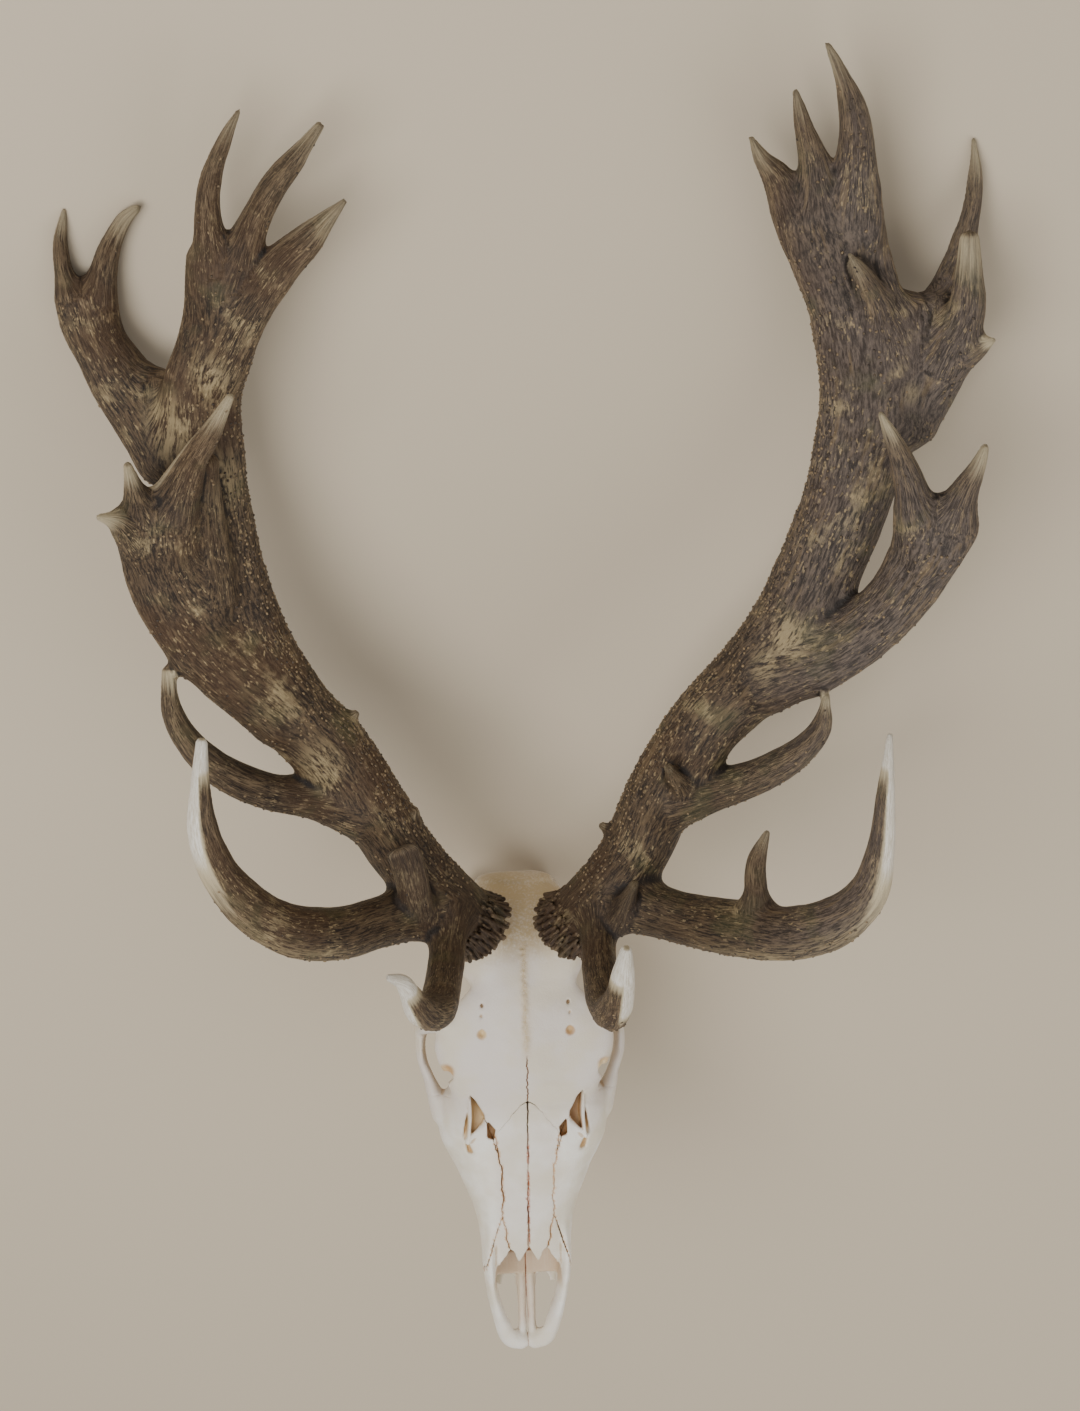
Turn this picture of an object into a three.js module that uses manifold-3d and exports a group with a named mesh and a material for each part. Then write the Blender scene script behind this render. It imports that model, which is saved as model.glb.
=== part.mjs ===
// Skull of a red deer stag with both antlers, without its lower jaw, lying as it comes to rest:
// on the back of the braincase and on one rear point of each crown, with the muzzle raised.
//
// Everything is shaped in the frame of the antlers, in millimetres: +X to the animal's left, +Y to
// the back of the head, +Z up through the forehead, the origin below the burrs. The bones of the
// head have a frame of their own, HEAD, because the head sits a few degrees askew under the pair.
// The finished group is then tilted until it rests, and set down on the floor, z = 0.
import * as THREE from 'three';
import { mergeVertices } from 'three/addons/utils/BufferGeometryUtils.js';
import Module from 'manifold-3d';

const wasm = await Module();
wasm.setup();

// ---------------------------------------------------------------- driving dimensions

const GAP = 0.3;              // between neighbouring solids
const REST_FLAT_DEPTH = 1.6;  // worn off each point that the skull rests on

const HEAD_ROLL = 5;          // degrees, crown of the head towards the animal's left
const HEAD_TURN = 1.2;          // degrees, muzzle towards the animal's left
const HEAD_SHIFT = -2.5;
const HEAD_PIVOT = new THREE.Vector3(0, -105, 120);

const BURR_RADIUS = 33;
const BURR_THICKNESS = 15;
const BURR_LOBES = 8;
const BURR_AXIS = [0.55, 0.5, 0.67];
const PEDICLE_RADIUS = 21;

const FACE_START = -152;      // where the face meets the braincase
const FACE_END = -292;        // front edge of the upper jaw
const MUZZLE_TIP = -392;
const NASAL_START = -156;
const NASAL_END = -296;
const NASAL_WIDTH = 20;
const NASAL_THICKNESS = 7;
const CHEEK_TEETH = 6;        // on each side

// The braincase and the bone between the orbits, as sections across the head:
// [y, half width, top, level of greatest width, bottom]
const BRAINCASE = [
  [40, 20, 84, 62, 42],
  [33, 38, 106, 66, 30],
  [16, 47, 126, 72, 24],
  [-8, 48, 140, 80, 22],
  [-36, 43, 146, 94, 30],
  [-66, 36, 145, 110, 44],
  [-96, 31, 141, 110, 52],
  [-126, 30, 136, 104, 50],
  [FACE_START, 36, 125, 84, 34],
];

// The domed roof over the orbits.
const BROW_SHELF = [
  [-40, 30, 141, 130, 120],
  [-72, 58, 145, 126, 114],
  [-98, 76, 141, 116, 106],
  [-120, 78, 136, 112, 102],
  [-138, 71, 130, 108, 98],
  [FACE_START, 63, 123, 98, 84],
];

// The upper jaw and cheeks, from the orbits to the front of the nose.
const UPPER_JAW = [
  [FACE_START - GAP, 72, 123, 66, 26],
  [-172, 74, 118, 62, 22],
  [-192, 71, 112, 58, 20],
  [-212, 63, 105, 52, 20],
  [-238, 51, 96, 48, 20],
  [-268, 42, 86, 46, 20],
  [FACE_END, 38, 77, 44, 19],
];

// Stations of a curved limb are [x, y, z, half width across the view, half depth].
const CHEEK_ARCH = [
  [74, FACE_START - 6, 66, 8, 14],
  [83, -138, 66, 4, 10],
  [86, -116, 67, 4, 9],
  [84, -92, 70, 5, 9],
  [77, -62, 66, 4, 8],
  [64, -36, 62, 5, 8],
  [42, -12, 62, 10, 8],
];
const ORBIT_POST = [[66, -88, 124, 10, 7], [81, -91, 102, 6, 5], [84, -93, 72, 6, 6]];
const PAROCCIPITAL = [[34, 16, 44, 9, 8], [37, 22, 20, 7, 8], [35, 25, -2, 4, 6]];
const PTERYGOID = [[14, -62, 40, 3, 12], [15, -100, 42, 3, 20], [18, FACE_START + 2, 34, 4, 18]];
const CONDYLE = { centre: [17, 26, 36], radii: [12, 11, 17] };
const EAR_BULLA = { centre: [27, -8, 20], radii: [11, 15, 14] };
const FORAMEN_MAGNUM = { centre: [0, 44, 54], radii: [14, 26, 13] };
const PREMAXILLA = [
  [32, FACE_END - GAP, 47, 6, 27],
  [31.5, -320, 41, 5.5, 19],
  [28, -346, 33, 6, 14],
  [20, -370, 25, 8.5, 10],
  [10, MUZZLE_TIP + 8, 20, 8.5, 8],
];
const PALATE_BAR = [
  [4.6, FACE_END - GAP, 22, 2.8, 4],
  [4.6, -340, 18, 2.8, 3.5],
  [6, -382, 17, 5, 4],
];
// The slot in front of each orbit.
const FACE_SLOT = [[47, -156, 116, 4, 16], [42, -178, 108, 10, 22], [33, -202, 106, 4, 14]];
const NOSE_OPENING = [
  [FACE_END - 5, 27, 84, 52, 27],
  [FACE_END + 14, 25, 84, 54, 28],
  [FACE_END + 46, 17, 76, 54, 34],
];
const PALATE_HOLLOW = [
  [FACE_START + 5, 22, 27, 15, 4],
  [-190, 21, 26, 14, 3],
  [-262, 17, 25, 14, 3],
];

// Both antlers, limb by limb. Stations are listed as for a limb above.
const LEFT_ANTLER = {
  beam: [
    [39, 1, 161, 25, 25], [90, 58, 208, 28, 28], [113, 108, 238, 29, 28], [149, 167, 270, 30, 27],
    [184, 203, 291, 31, 25], [220, 248, 318, 34, 23], [243, 302, 348, 33, 22], [260, 352, 380, 34, 20],
    [268, 412, 416, 35, 17], [259, 467, 458, 35, 13], [243, 517, 496, 35, 10], [232, 541, 518, 35, 9],
  ],
  brow: [
    [61, 10, 195, 17, 18], [61, -21, 228, 14, 16], [63, -44, 270, 15, 16], [68, -58, 318, 15, 15],
    [73, -45, 360, 12, 12], [76, -22, 395, 9, 9], [78, -2, 418, 4.6, 5],
  ],
  bez: [
    [84, 22, 205, 25, 25], [128, 9, 232, 21, 21], [171, 2, 266, 23, 20], [213, 0, 302, 22, 20],
    [245, 11, 336, 20, 18], [268, 35, 366, 16, 15], [276, 70, 390, 11, 12], [278, 109, 410, 7.6, 8],
    [280, 158, 430, 2.3, 3],
  ],
  bezSpur: [
    [188, 5, 275, 19, 15], [187, 34, 290, 10, 10], [187, 57, 300, 8, 8], [195, 81, 312, 2.4, 3],
  ],
  trez: [
    [125, 105, 248, 20, 22], [162, 114, 258, 15, 17], [193, 126, 272, 14, 15], [222, 143, 292, 12, 14],
    [239, 164, 314, 9, 10], [242, 187, 336, 2.4, 3],
  ],
  fork: [
    [199, 206, 304, 29, 24], [249, 224, 330, 26, 20], [287, 254, 362, 24, 17], [309, 288, 396, 26, 13],
    [318, 319, 425, 29, 11],
  ],
  forkInner: [
    [303, 321, 425, 20, 11], [294, 353, 445, 12, 10], [283, 378, 462, 6.7, 7], [272, 396, 478, 2.2, 3],
  ],
  forkOuter: [
    [329, 317, 425, 20, 11], [338, 340, 440, 11, 10], [346, 357, 452, 6.7, 7], [351, 371, 460, 3.4, 4],
  ],
  crownInner: [
    [223, 495, 484, 21, 9], [208, 534, 512, 17, 9], [195, 560, 530, 12, 8], [182, 574, 545, 6.4, 6],
    [174, 586, 556, 2.1, 3],
  ],
  crownMiddle: [
    [226, 538, 515, 19, 9], [219, 573, 540, 11, 8], [211, 594, 560, 6.4, 6], [204, 614, 580, 2.1, 3],
  ],
  crownTop: [
    [252, 537, 515, 19, 9], [251, 573, 540, 14, 10], [245, 600, 572, 11, 9], [234, 621, 600, 5.6, 6],
    [223, 637, 620, 2.1, 3],
  ],
  outer: [
    [276, 399, 405, 32, 17], [308, 437, 415, 33, 16], [329, 467, 430, 26, 15], [338, 493, 446, 15, 13],
  ],
  outerTop: [
    [327, 475, 432, 17, 12], [337, 517, 450, 10, 10], [344, 551, 468, 6.7, 8], [345, 575, 480, 4.8, 6],
    [342, 595, 492, 1.8, 2.5],
  ],
  outerFront: [
    [325, 440, 440, 18, 12], [337, 470, 468, 15, 10], [337, 496, 488, 11, 8], [336, 521, 502, 7.3, 6],
  ],
  outerSpur: [[341, 444, 450, 10, 10], [357, 450, 468, 2.2, 3]],
  frontSpur: [
    [285, 438, 432, 20, 14], [273, 472, 462, 13, 12], [259, 492, 490, 7.3, 9],
    [246, 507, 512, 2.5, 3.5],
  ],
  snagBurr: [[78, 7, 216, 12, 12], [90, 38, 256, 4.1, 5]],
  snagInner: [[80, 75, 216, 7.5, 9], [66, 85, 222, 3.3, 4]],
  snagFront: [[130, 117, 262, 11, 12], [118, 134, 300, 4, 5]],
};

const RIGHT_ANTLER = {
  beam: [
    [-44, 2, 161, 25, 25], [-94, 58, 208, 27, 28], [-124, 107, 238, 28, 28], [-151, 149, 264, 31, 27],
    [-185, 188, 288, 32, 26], [-212, 236, 314, 33, 24], [-229, 287, 343, 33, 22],
    [-236, 342, 373, 31, 20], [-239, 390, 402, 33, 17], [-234, 429, 430, 30, 15],
    [-220, 470, 462, 30, 12], [-211, 515, 495, 25, 10],
  ],
  brow: [
    [-61, 12, 195, 17, 18], [-65, -19, 228, 15, 16], [-67, -42, 270, 15, 16], [-71, -55, 318, 16, 15],
    [-81, -51, 352, 13, 12], [-88, -36, 382, 8, 9], [-93, -24, 400, 6.1, 6], [-103, -19, 414, 2.3, 3],
  ],
  bez: [
    [-83, 19, 205, 25, 25], [-119, 10, 232, 21, 21], [-154, 3, 262, 22, 20], [-189, 10, 297, 21, 19],
    [-218, 32, 330, 18, 17], [-237, 61, 358, 15, 15], [-246, 95, 382, 12, 12], [-245, 128, 402, 7.6, 9],
    [-241, 162, 420, 4.6, 5],
  ],
  trez: [
    [-133, 106, 246, 25, 22], [-173, 113, 258, 16, 18], [-207, 121, 270, 15, 16],
    [-237, 136, 288, 14, 15], [-261, 158, 308, 12, 13], [-274, 185, 326, 9, 10],
    [-276, 217, 342, 4.7, 5],
  ],
  fork: [
    [-192, 186, 300, 27, 24], [-231, 222, 328, 29, 20], [-258, 259, 362, 30, 17],
    [-272, 295, 396, 29, 13], [-274, 328, 425, 27, 11],
  ],
  forkInner: [
    [-263, 335, 425, 21, 11], [-242, 370, 452, 12, 9], [-222, 394, 478, 7.4, 7],
    [-206, 415, 502, 2.9, 4],
  ],
  forkOuter: [[-282, 332, 425, 15, 11], [-285, 355, 448, 7.5, 8], [-287, 369, 462, 3.7, 5]],
  forkRear: [[-285, 319, 418, 15, 11], [-298, 330, 440, 7.5, 8], [-311, 333, 452, 2.2, 3]],
  crownTop: [
    [-218, 511, 495, 19, 9], [-218, 550, 522, 9, 9], [-212, 570, 542, 7.9, 8], [-201, 589, 562, 5.7, 6],
    [-188, 607, 582, 1.8, 2.5],
  ],
  crownMiddle: [
    [-204, 502, 490, 18, 10], [-185, 540, 515, 12, 10], [-169, 561, 535, 10, 9],
    [-150, 579, 555, 7.1, 7], [-132, 597, 572, 3.2, 4],
  ],
  crownInner: [
    [-214, 448, 455, 18, 12], [-187, 486, 488, 15, 11], [-167, 510, 505, 15, 9],
    [-148, 525, 515, 12, 8], [-130, 541, 525, 6.5, 6], [-118, 551, 532, 2.2, 3],
  ],
  outer: [
    [-259, 389, 389, 34, 17], [-290, 433, 397, 29, 16], [-309, 467, 410, 27, 15],
    [-321, 499, 427, 20, 12],
  ],
  outerTop: [
    [-330, 491, 421, 12, 10], [-336, 517, 435, 7.5, 9], [-336, 539, 449, 5.2, 7],
    [-331, 561, 461, 1.9, 2.5],
  ],
  outerFront: [
    [-309, 492, 421, 15, 11], [-304, 521, 439, 10, 10], [-296, 540, 453, 7.8, 8],
    [-286, 553, 463, 5.9, 6], [-276, 560, 469, 3, 4],
  ],
  snagBurr: [[-93, 6, 216, 12, 12], [-92, 37, 246, 11, 9], [-93, 70, 266, 11, 5]],
  snagInner: [[-100, 78, 218, 13, 12], [-89, 100, 236, 4.1, 5]],
  snagFront: [[-150, 171, 268, 11, 10], [-133, 182, 276, 3.2, 4]],
};

// Which limbs are joined into which node. The beam itself is parted at two of its stations.
const LOWER_BEAM_LIMBS = ['snagBurr', 'snagInner', 'snagFront'];
const CROWN_LIMBS = ['crownInner', 'crownMiddle', 'crownTop'];
const SIDE_NODES = {
  outer_crown: ['outer', 'outerTop', 'outerFront', 'outerSpur', 'frontSpur'],
  middle_fork: ['fork', 'forkInner', 'forkOuter', 'forkRear'],
  trez_tine: ['trez'],
  bez_tine: ['bez', 'bezSpur'],
  brow_tine: ['brow'],
};
const LOWER_CUT = 5.5;        // station of the beam just past the middle fork
const UPPER_CUT = 8.5;        // station of the beam just past the outer crown branch

// Number of sides of each limb, and which way its depth leans. Any other limb is a plain tine.
const LIMB_STYLES = {
  beam: { sides: 12, tip: 0.3 },
  brow: { sides: 7, facing: [0, 1, 0] },
  bez: { sides: 7 },
  fork: { sides: 10, tip: 0.3 },
  outer: { sides: 10, tip: 0.3 },
};
const TINE_STYLE = { sides: 7 };

// ---------------------------------------------------------------- materials

const BONE = new THREE.MeshStandardMaterial({ color: 0xe8e4d9, roughness: 0.62, metalness: 0 });
const ANTLER = new THREE.MeshStandardMaterial({ color: 0x54473a, roughness: 0.7, metalness: 0 });

// ---------------------------------------------------------------- helpers

function solidOf(geometry) {
  const bare = geometry.clone();
  for (const name of ['normal', 'uv']) {
    bare.deleteAttribute(name);
  }
  const merged = mergeVertices(bare, 1e-4);
  const mesh = new wasm.Mesh({
    numProp: 3,
    vertProperties: new Float32Array(merged.attributes.position.array),
    triVerts: new Uint32Array(merged.index.array),
  });
  return new wasm.Manifold(mesh);
}

function meshOf(name, solid, material) {
  const { vertProperties, triVerts } = solid.getMesh();
  const geometry = new THREE.BufferGeometry();
  geometry.setAttribute('position', new THREE.BufferAttribute(vertProperties, 3));
  geometry.setIndex(new THREE.BufferAttribute(triVerts, 1));
  geometry.computeVertexNormals();
  const mesh = new THREE.Mesh(geometry, material);
  mesh.name = name;
  return mesh;
}

// The bones of the head are shaped symmetrical, then set askew under the antlers.
const HEAD = new THREE.Matrix4()
  .makeTranslation(HEAD_PIVOT.x + HEAD_SHIFT, HEAD_PIVOT.y, HEAD_PIVOT.z)
  .multiply(new THREE.Matrix4().makeRotationZ(THREE.MathUtils.degToRad(HEAD_TURN)))
  .multiply(new THREE.Matrix4().makeRotationY(THREE.MathUtils.degToRad(HEAD_ROLL)))
  .multiply(new THREE.Matrix4().makeTranslation(-HEAD_PIVOT.x, -HEAD_PIVOT.y, -HEAD_PIVOT.z));

function boneOf(geometry) {
  return solidOf(geometry.applyMatrix4(HEAD));
}

// Closes a stack of equal rings with a point at each end.
function skinRings(rings, firstPoint, lastPoint) {
  const sides = rings[0].length;
  const points = [...rings.flat(), firstPoint, lastPoint];
  const first = points.length - 2;
  const last = points.length - 1;
  const lastRing = (rings.length - 1) * sides;
  const faces = [];
  for (let side = 0; side < sides; side++) {
    const next = (side + 1) % sides;
    for (let ring = 0; ring < rings.length - 1; ring++) {
      const low = ring * sides;
      const high = low + sides;
      faces.push(low + side, low + next, high + next, low + side, high + next, high + side);
    }
    faces.push(first, next, side);
    faces.push(last, lastRing + side, lastRing + next);
  }
  const geometry = new THREE.BufferGeometry().setFromPoints(points);
  geometry.setIndex(faces);
  return geometry;
}

// A limb of elliptical section along its stations. Its depth leans towards facing.
function limb(stations, { sides = 8, steps = 1, facing = [0, 0, 1], grow = 0, tip = 1 } = {}) {
  const path = new THREE.CatmullRomCurve3(stations.map(([x, y, z]) => new THREE.Vector3(x, y, z)));
  const sizes = new THREE.CatmullRomCurve3(stations.map(([, , , w, d]) => new THREE.Vector3(w, d, 0)));
  const count = (stations.length - 1) * steps;
  const toward = new THREE.Vector3(...facing);
  const rings = [];
  for (let step = 0; step <= count; step++) {
    const centre = path.getPoint(step / count);
    const along = path.getTangent(step / count);
    const size = sizes.getPoint(step / count);
    const deep = toward.clone().addScaledVector(along, -toward.dot(along)).normalize();
    const wide = new THREE.Vector3().crossVectors(deep, along);
    const ring = [];
    for (let side = 0; side < sides; side++) {
      const angle = (2 * Math.PI * side) / sides;
      ring.push(centre.clone()
        .addScaledVector(wide, (size.x + grow) * Math.cos(angle))
        .addScaledVector(deep, (size.y + grow) * Math.sin(angle)));
    }
    rings.push(ring);
  }
  const start = path.getPoint(0).addScaledVector(path.getTangent(0), -grow);
  const reach = tip * stations.at(-1)[4] + grow;
  const end = path.getPoint(1).addScaledVector(path.getTangent(1), reach);
  return skinRings(rings, start, end);
}

// A body through sections across the head. Each section is a rounded box of its own height.
function headLoft(sections, { sides = 12, roundness = 2.4 } = {}) {
  const power = (value) => Math.sign(value) * Math.abs(value) ** (2 / roundness);
  const rings = sections.map(([y, half, top, level, bottom]) => {
    const ring = [];
    for (let side = 0; side < sides; side++) {
      const angle = (2 * Math.PI * side) / sides;
      const height = Math.sin(angle) > 0 ? top - level : level - bottom;
      ring.push(new THREE.Vector3(half * power(Math.cos(angle)), y, level + height * power(Math.sin(angle))));
    }
    return ring;
  });
  const middles = sections.map(([y, , top, , bottom]) => new THREE.Vector3(0, y, (top + bottom) / 2));
  const forwards = sections.at(-1)[0] < sections[0][0];
  const stack = forwards ? rings : rings.toReversed();
  const ends = forwards ? middles : middles.toReversed();
  return skinRings(stack, ends[0], ends.at(-1));
}

function ellipsoid({ centre, radii }, side = 1, sides = 7) {
  const geometry = new THREE.SphereGeometry(1, sides, Math.round(sides * 0.75));
  return geometry.scale(...radii).translate(side * centre[0], centre[1], centre[2]);
}

// Everything that lies past a point, in the direction given.
function beyond(point, direction) {
  const reach = 1600;
  const geometry = new THREE.BoxGeometry(reach, reach, reach).translate(0, 0, reach / 2);
  const turn = new THREE.Quaternion().setFromUnitVectors(new THREE.Vector3(0, 0, 1), direction);
  return geometry.applyQuaternion(turn).translate(point.x, point.y, point.z);
}

function onSide(side, stations) {
  return stations.map(([x, ...rest]) => [side * x, ...rest]);
}

// Height of the roof of the face at a place along it.
function faceTop(y) {
  const next = UPPER_JAW.findIndex(([station]) => station <= y);
  const index = next < 0 ? UPPER_JAW.length - 1 : Math.max(next, 1);
  const [y0, , top0] = UPPER_JAW[index - 1];
  const [y1, , top1] = UPPER_JAW[index];
  return top0 + ((top1 - top0) * (y - y0)) / (y1 - y0);
}

// ---------------------------------------------------------------- bones of the head

function makePremaxilla(side) {
  const ahead = beyond(new THREE.Vector3(0, FACE_END - GAP, 0), new THREE.Vector3(0, -1, 0));
  const half = beyond(new THREE.Vector3((side * GAP) / 2, 0, 0), new THREE.Vector3(side, 0, 0));
  return boneOf(limb(onSide(side, PREMAXILLA)))
    .add(boneOf(limb(onSide(side, PALATE_BAR), { sides: 6 })))
    .intersect(boneOf(ahead))
    .intersect(boneOf(half));
}

function makeNasal(side, grow = 0) {
  const shares = [[0, 0.45], [0.2, 1], [0.55, 1], [0.86, 0.9], [1, 0.5]];
  const stations = shares.map(([share, breadth]) => {
    const half = (NASAL_WIDTH / 2) * breadth;
    const y = NASAL_START + (NASAL_END - NASAL_START) * share;
    return [side * (half + GAP / 2), y, faceTop(y) - NASAL_THICKNESS / 2 + 1, half, NASAL_THICKNESS / 2];
  });
  return boneOf(limb(stations, { sides: 8, grow, tip: 0.3 }));
}

function makeTooth(side, index) {
  const length = 13 + 1.8 * index;
  const width = 12 + 1.6 * index;
  const y = -262 + 18.5 * index;
  const x = side * (27 + 2.1 * index);
  const stations = [[x, y, 26, width / 2, length / 2], [x - side, y, 4, width * 0.44, length * 0.44]];
  return boneOf(limb(stations, { sides: 6, facing: [0, 1, 0], tip: 0.1 }));
}

function makeUpperJaw() {
  let jaw = boneOf(headLoft(UPPER_JAW, { sides: 18, roundness: 2.2 }));
  for (const side of [1, -1]) {
    for (let index = 0; index < CHEEK_TEETH; index++) {
      jaw = jaw.add(makeTooth(side, index));
    }
    jaw = jaw.subtract(boneOf(limb(onSide(side, FACE_SLOT), { sides: 8, tip: 0.2 })));
    jaw = jaw.subtract(makeNasal(side, GAP));
  }
  return jaw
    .subtract(boneOf(headLoft(NOSE_OPENING)))
    .subtract(boneOf(headLoft(PALATE_HOLLOW)));
}

function makeCranium() {
  let cranium = boneOf(headLoft(BRAINCASE, { sides: 16 })).add(boneOf(headLoft(BROW_SHELF, { sides: 14 })));
  for (const side of [1, -1]) {
    cranium = cranium
      .add(boneOf(limb(onSide(side, CHEEK_ARCH))))
      .add(boneOf(limb(onSide(side, ORBIT_POST), { facing: [0, 1, 0] })))
      .add(boneOf(limb(onSide(side, PAROCCIPITAL), { facing: [0, 1, 0] })))
      .add(boneOf(limb(onSide(side, PTERYGOID), { sides: 6 })))
      .add(boneOf(ellipsoid(CONDYLE, side)))
      .add(boneOf(ellipsoid(EAR_BULLA, side)));
  }
  const behindFace = beyond(new THREE.Vector3(0, FACE_START, 0), new THREE.Vector3(0, 1, 0));
  return cranium.subtract(boneOf(ellipsoid(FORAMEN_MAGNUM, 1, 10))).intersect(boneOf(behindFace));
}

// The stump of bone that carries an antler, up to the middle of its burr.
function makePedicle([x, y, z], side) {
  const radius = PEDICLE_RADIUS;
  return solidOf(limb([
    [x - side * 12, y - 28, z - 38, radius + 5, radius + 5],
    [x - side * 5, y - 9, z - 16, radius, radius],
    [x + side * 3, y + 2, z + 4, radius, radius],
  ], { sides: 12, tip: 0.05 }));
}

// ---------------------------------------------------------------- antlers

// The rough ring round the foot of the beam, square to it.
function makeBurr([x, y, z], side, grow = 0) {
  const count = BURR_LOBES * 3;
  const profile = [[-0.5, 0.82], [-0.2, 1], [0.2, 0.98], [0.5, 0.78]];
  const rings = profile.map(([level, scale]) => {
    const ring = [];
    for (let step = 0; step < count; step++) {
      const angle = (2 * Math.PI * step) / count;
      const radius = BURR_RADIUS * scale * (1 + 0.035 * Math.cos(BURR_LOBES * angle)) + grow;
      const height = (BURR_THICKNESS + 2 * grow) * level;
      ring.push(new THREE.Vector3(radius * Math.cos(angle), radius * Math.sin(angle), height));
    }
    return ring;
  });
  const end = new THREE.Vector3(0, 0, BURR_THICKNESS / 2 + grow);
  const axis = new THREE.Vector3(side * BURR_AXIS[0], BURR_AXIS[1], BURR_AXIS[2]).normalize();
  const turn = new THREE.Quaternion().setFromUnitVectors(new THREE.Vector3(0, 0, 1), axis);
  const geometry = skinRings(rings, end.clone().negate(), end);
  return solidOf(geometry.applyQuaternion(turn).translate(x, y, z));
}

function makeAntler(limbs, side) {
  const grown = (name, grow) => solidOf(limb(limbs[name], { ...(LIMB_STYLES[name] ?? TINE_STYLE), grow }));
  const joined = (names, grow = 0) => names
    .filter((name) => name in limbs)
    .map((name) => grown(name, grow))
    .reduce((sum, solid) => sum.add(solid));
  const path = new THREE.CatmullRomCurve3(limbs.beam.map(([x, y, z]) => new THREE.Vector3(x, y, z)));
  const pastStation = (station, shift) => {
    const share = station / (limbs.beam.length - 1);
    const along = path.getTangent(share);
    return solidOf(beyond(path.getPoint(share).addScaledVector(along, shift), along));
  };

  const beam = grown('beam', 0);
  const burr = makeBurr(limbs.beam[0], side);
  const nodes = {
    lower_beam: beam.add(burr).add(joined(LOWER_BEAM_LIMBS)).subtract(pastStation(LOWER_CUT, -GAP / 2)),
    upper_beam: beam.intersect(pastStation(LOWER_CUT, GAP / 2)).subtract(pastStation(UPPER_CUT, -GAP / 2)),
    inner_crown: beam.intersect(pastStation(UPPER_CUT, GAP / 2)).add(joined(CROWN_LIMBS)),
  };
  const foot = grown('beam', GAP).add(makeBurr(limbs.beam[0], side, GAP));
  let taken = foot.add(joined([...LOWER_BEAM_LIMBS, ...CROWN_LIMBS], GAP));
  for (const [name, list] of Object.entries(SIDE_NODES)) {
    nodes[name] = joined(list).subtract(taken);
    taken = taken.add(joined(list, GAP));
  }
  return { nodes, foot };
}

// ---------------------------------------------------------------- assembly

let cranium = makeCranium();
const antlerSolids = {};
for (const [name, limbs, side] of [['left', LEFT_ANTLER, 1], ['right', RIGHT_ANTLER, -1]]) {
  const { nodes, foot } = makeAntler(limbs, side);
  cranium = cranium.add(makePedicle(limbs.beam[0], side)).subtract(foot);
  for (const [part, solid] of Object.entries(nodes)) {
    antlerSolids[`${name}_${part}`] = solid;
  }
}
const headSolids = {
  cranium,
  upper_jaw: makeUpperJaw(),
  left_nasal: makeNasal(1).subtract(cranium),
  right_nasal: makeNasal(-1).subtract(cranium),
  left_premaxilla: makePremaxilla(1).subtract(makeNasal(1, GAP)),
  right_premaxilla: makePremaxilla(-1).subtract(makeNasal(-1, GAP)),
};

// Lowest level that any of the solids reaches, seen with the skull leaned back by an angle.
function lowest(solids, angle) {
  let level = Infinity;
  for (const solid of Object.values(solids)) {
    const { vertProperties } = solid.getMesh();
    for (let start = 0; start < vertProperties.length; start += 3) {
      const height = vertProperties[start + 2] * Math.cos(angle) - vertProperties[start + 1] * Math.sin(angle);
      level = Math.min(level, height);
    }
  }
  return level;
}

// The skull leans back until its antlers reach as low as the back of the head.
function restAngle() {
  let flat = 0;
  let steep = Math.PI / 3;
  for (let round = 0; round < 24; round++) {
    const angle = (flat + steep) / 2;
    if (lowest(antlerSolids, angle) > lowest(headSolids, angle)) {
      flat = angle;
    } else {
      steep = angle;
    }
  }
  return (flat + steep) / 2;
}

const lean = restAngle();
const floorLevel = lowest(headSolids, lean) + REST_FLAT_DEPTH;
const floorNormal = new THREE.Vector3(0, -Math.sin(lean), Math.cos(lean));
const underFloor = solidOf(beyond(floorNormal.clone().multiplyScalar(floorLevel), floorNormal.clone().negate()));

// The largest body of a cut solid, without the slivers that a cut may leave beside it.
function largest(solid) {
  return solid.decompose().reduce((best, body) => (body.volume() > best.volume() ? body : best));
}

const skull = new THREE.Group();
for (const [name, solid] of Object.entries(antlerSolids)) {
  skull.add(meshOf(name, largest(solid.subtract(underFloor)), ANTLER));
}
for (const [name, solid] of Object.entries(headSolids)) {
  skull.add(meshOf(name, largest(solid.subtract(underFloor)), BONE));
}

skull.rotation.x = -lean;
skull.updateMatrixWorld(true);
const extent = new THREE.Box3().setFromObject(skull, true);
const centre = extent.getCenter(new THREE.Vector3());
skull.position.set(-centre.x, -centre.y, -floorLevel);

const group = new THREE.Group();
group.add(skull);
group.updateMatrixWorld(true);

export default group;
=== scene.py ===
# %% [markdown]
# # A red deer stag's skull with its antlers
# The real thing is one clean upper skull of a big stag, bleached nearly white, under two dark,
# branching antlers. It has no stand, so it lies on the floor on the back of its head and on the
# rear of both crowns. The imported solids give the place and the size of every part. This lesson
# grows the fine surface around them: it fills space with a distance field, joins the limbs with
# soft webs as living bone does, and meshes the result.

# %% Load the fixed frame
import copy
import itertools
import math
import bpy
import numpy as np
import openvdb
from mathutils import Matrix, Vector


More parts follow.
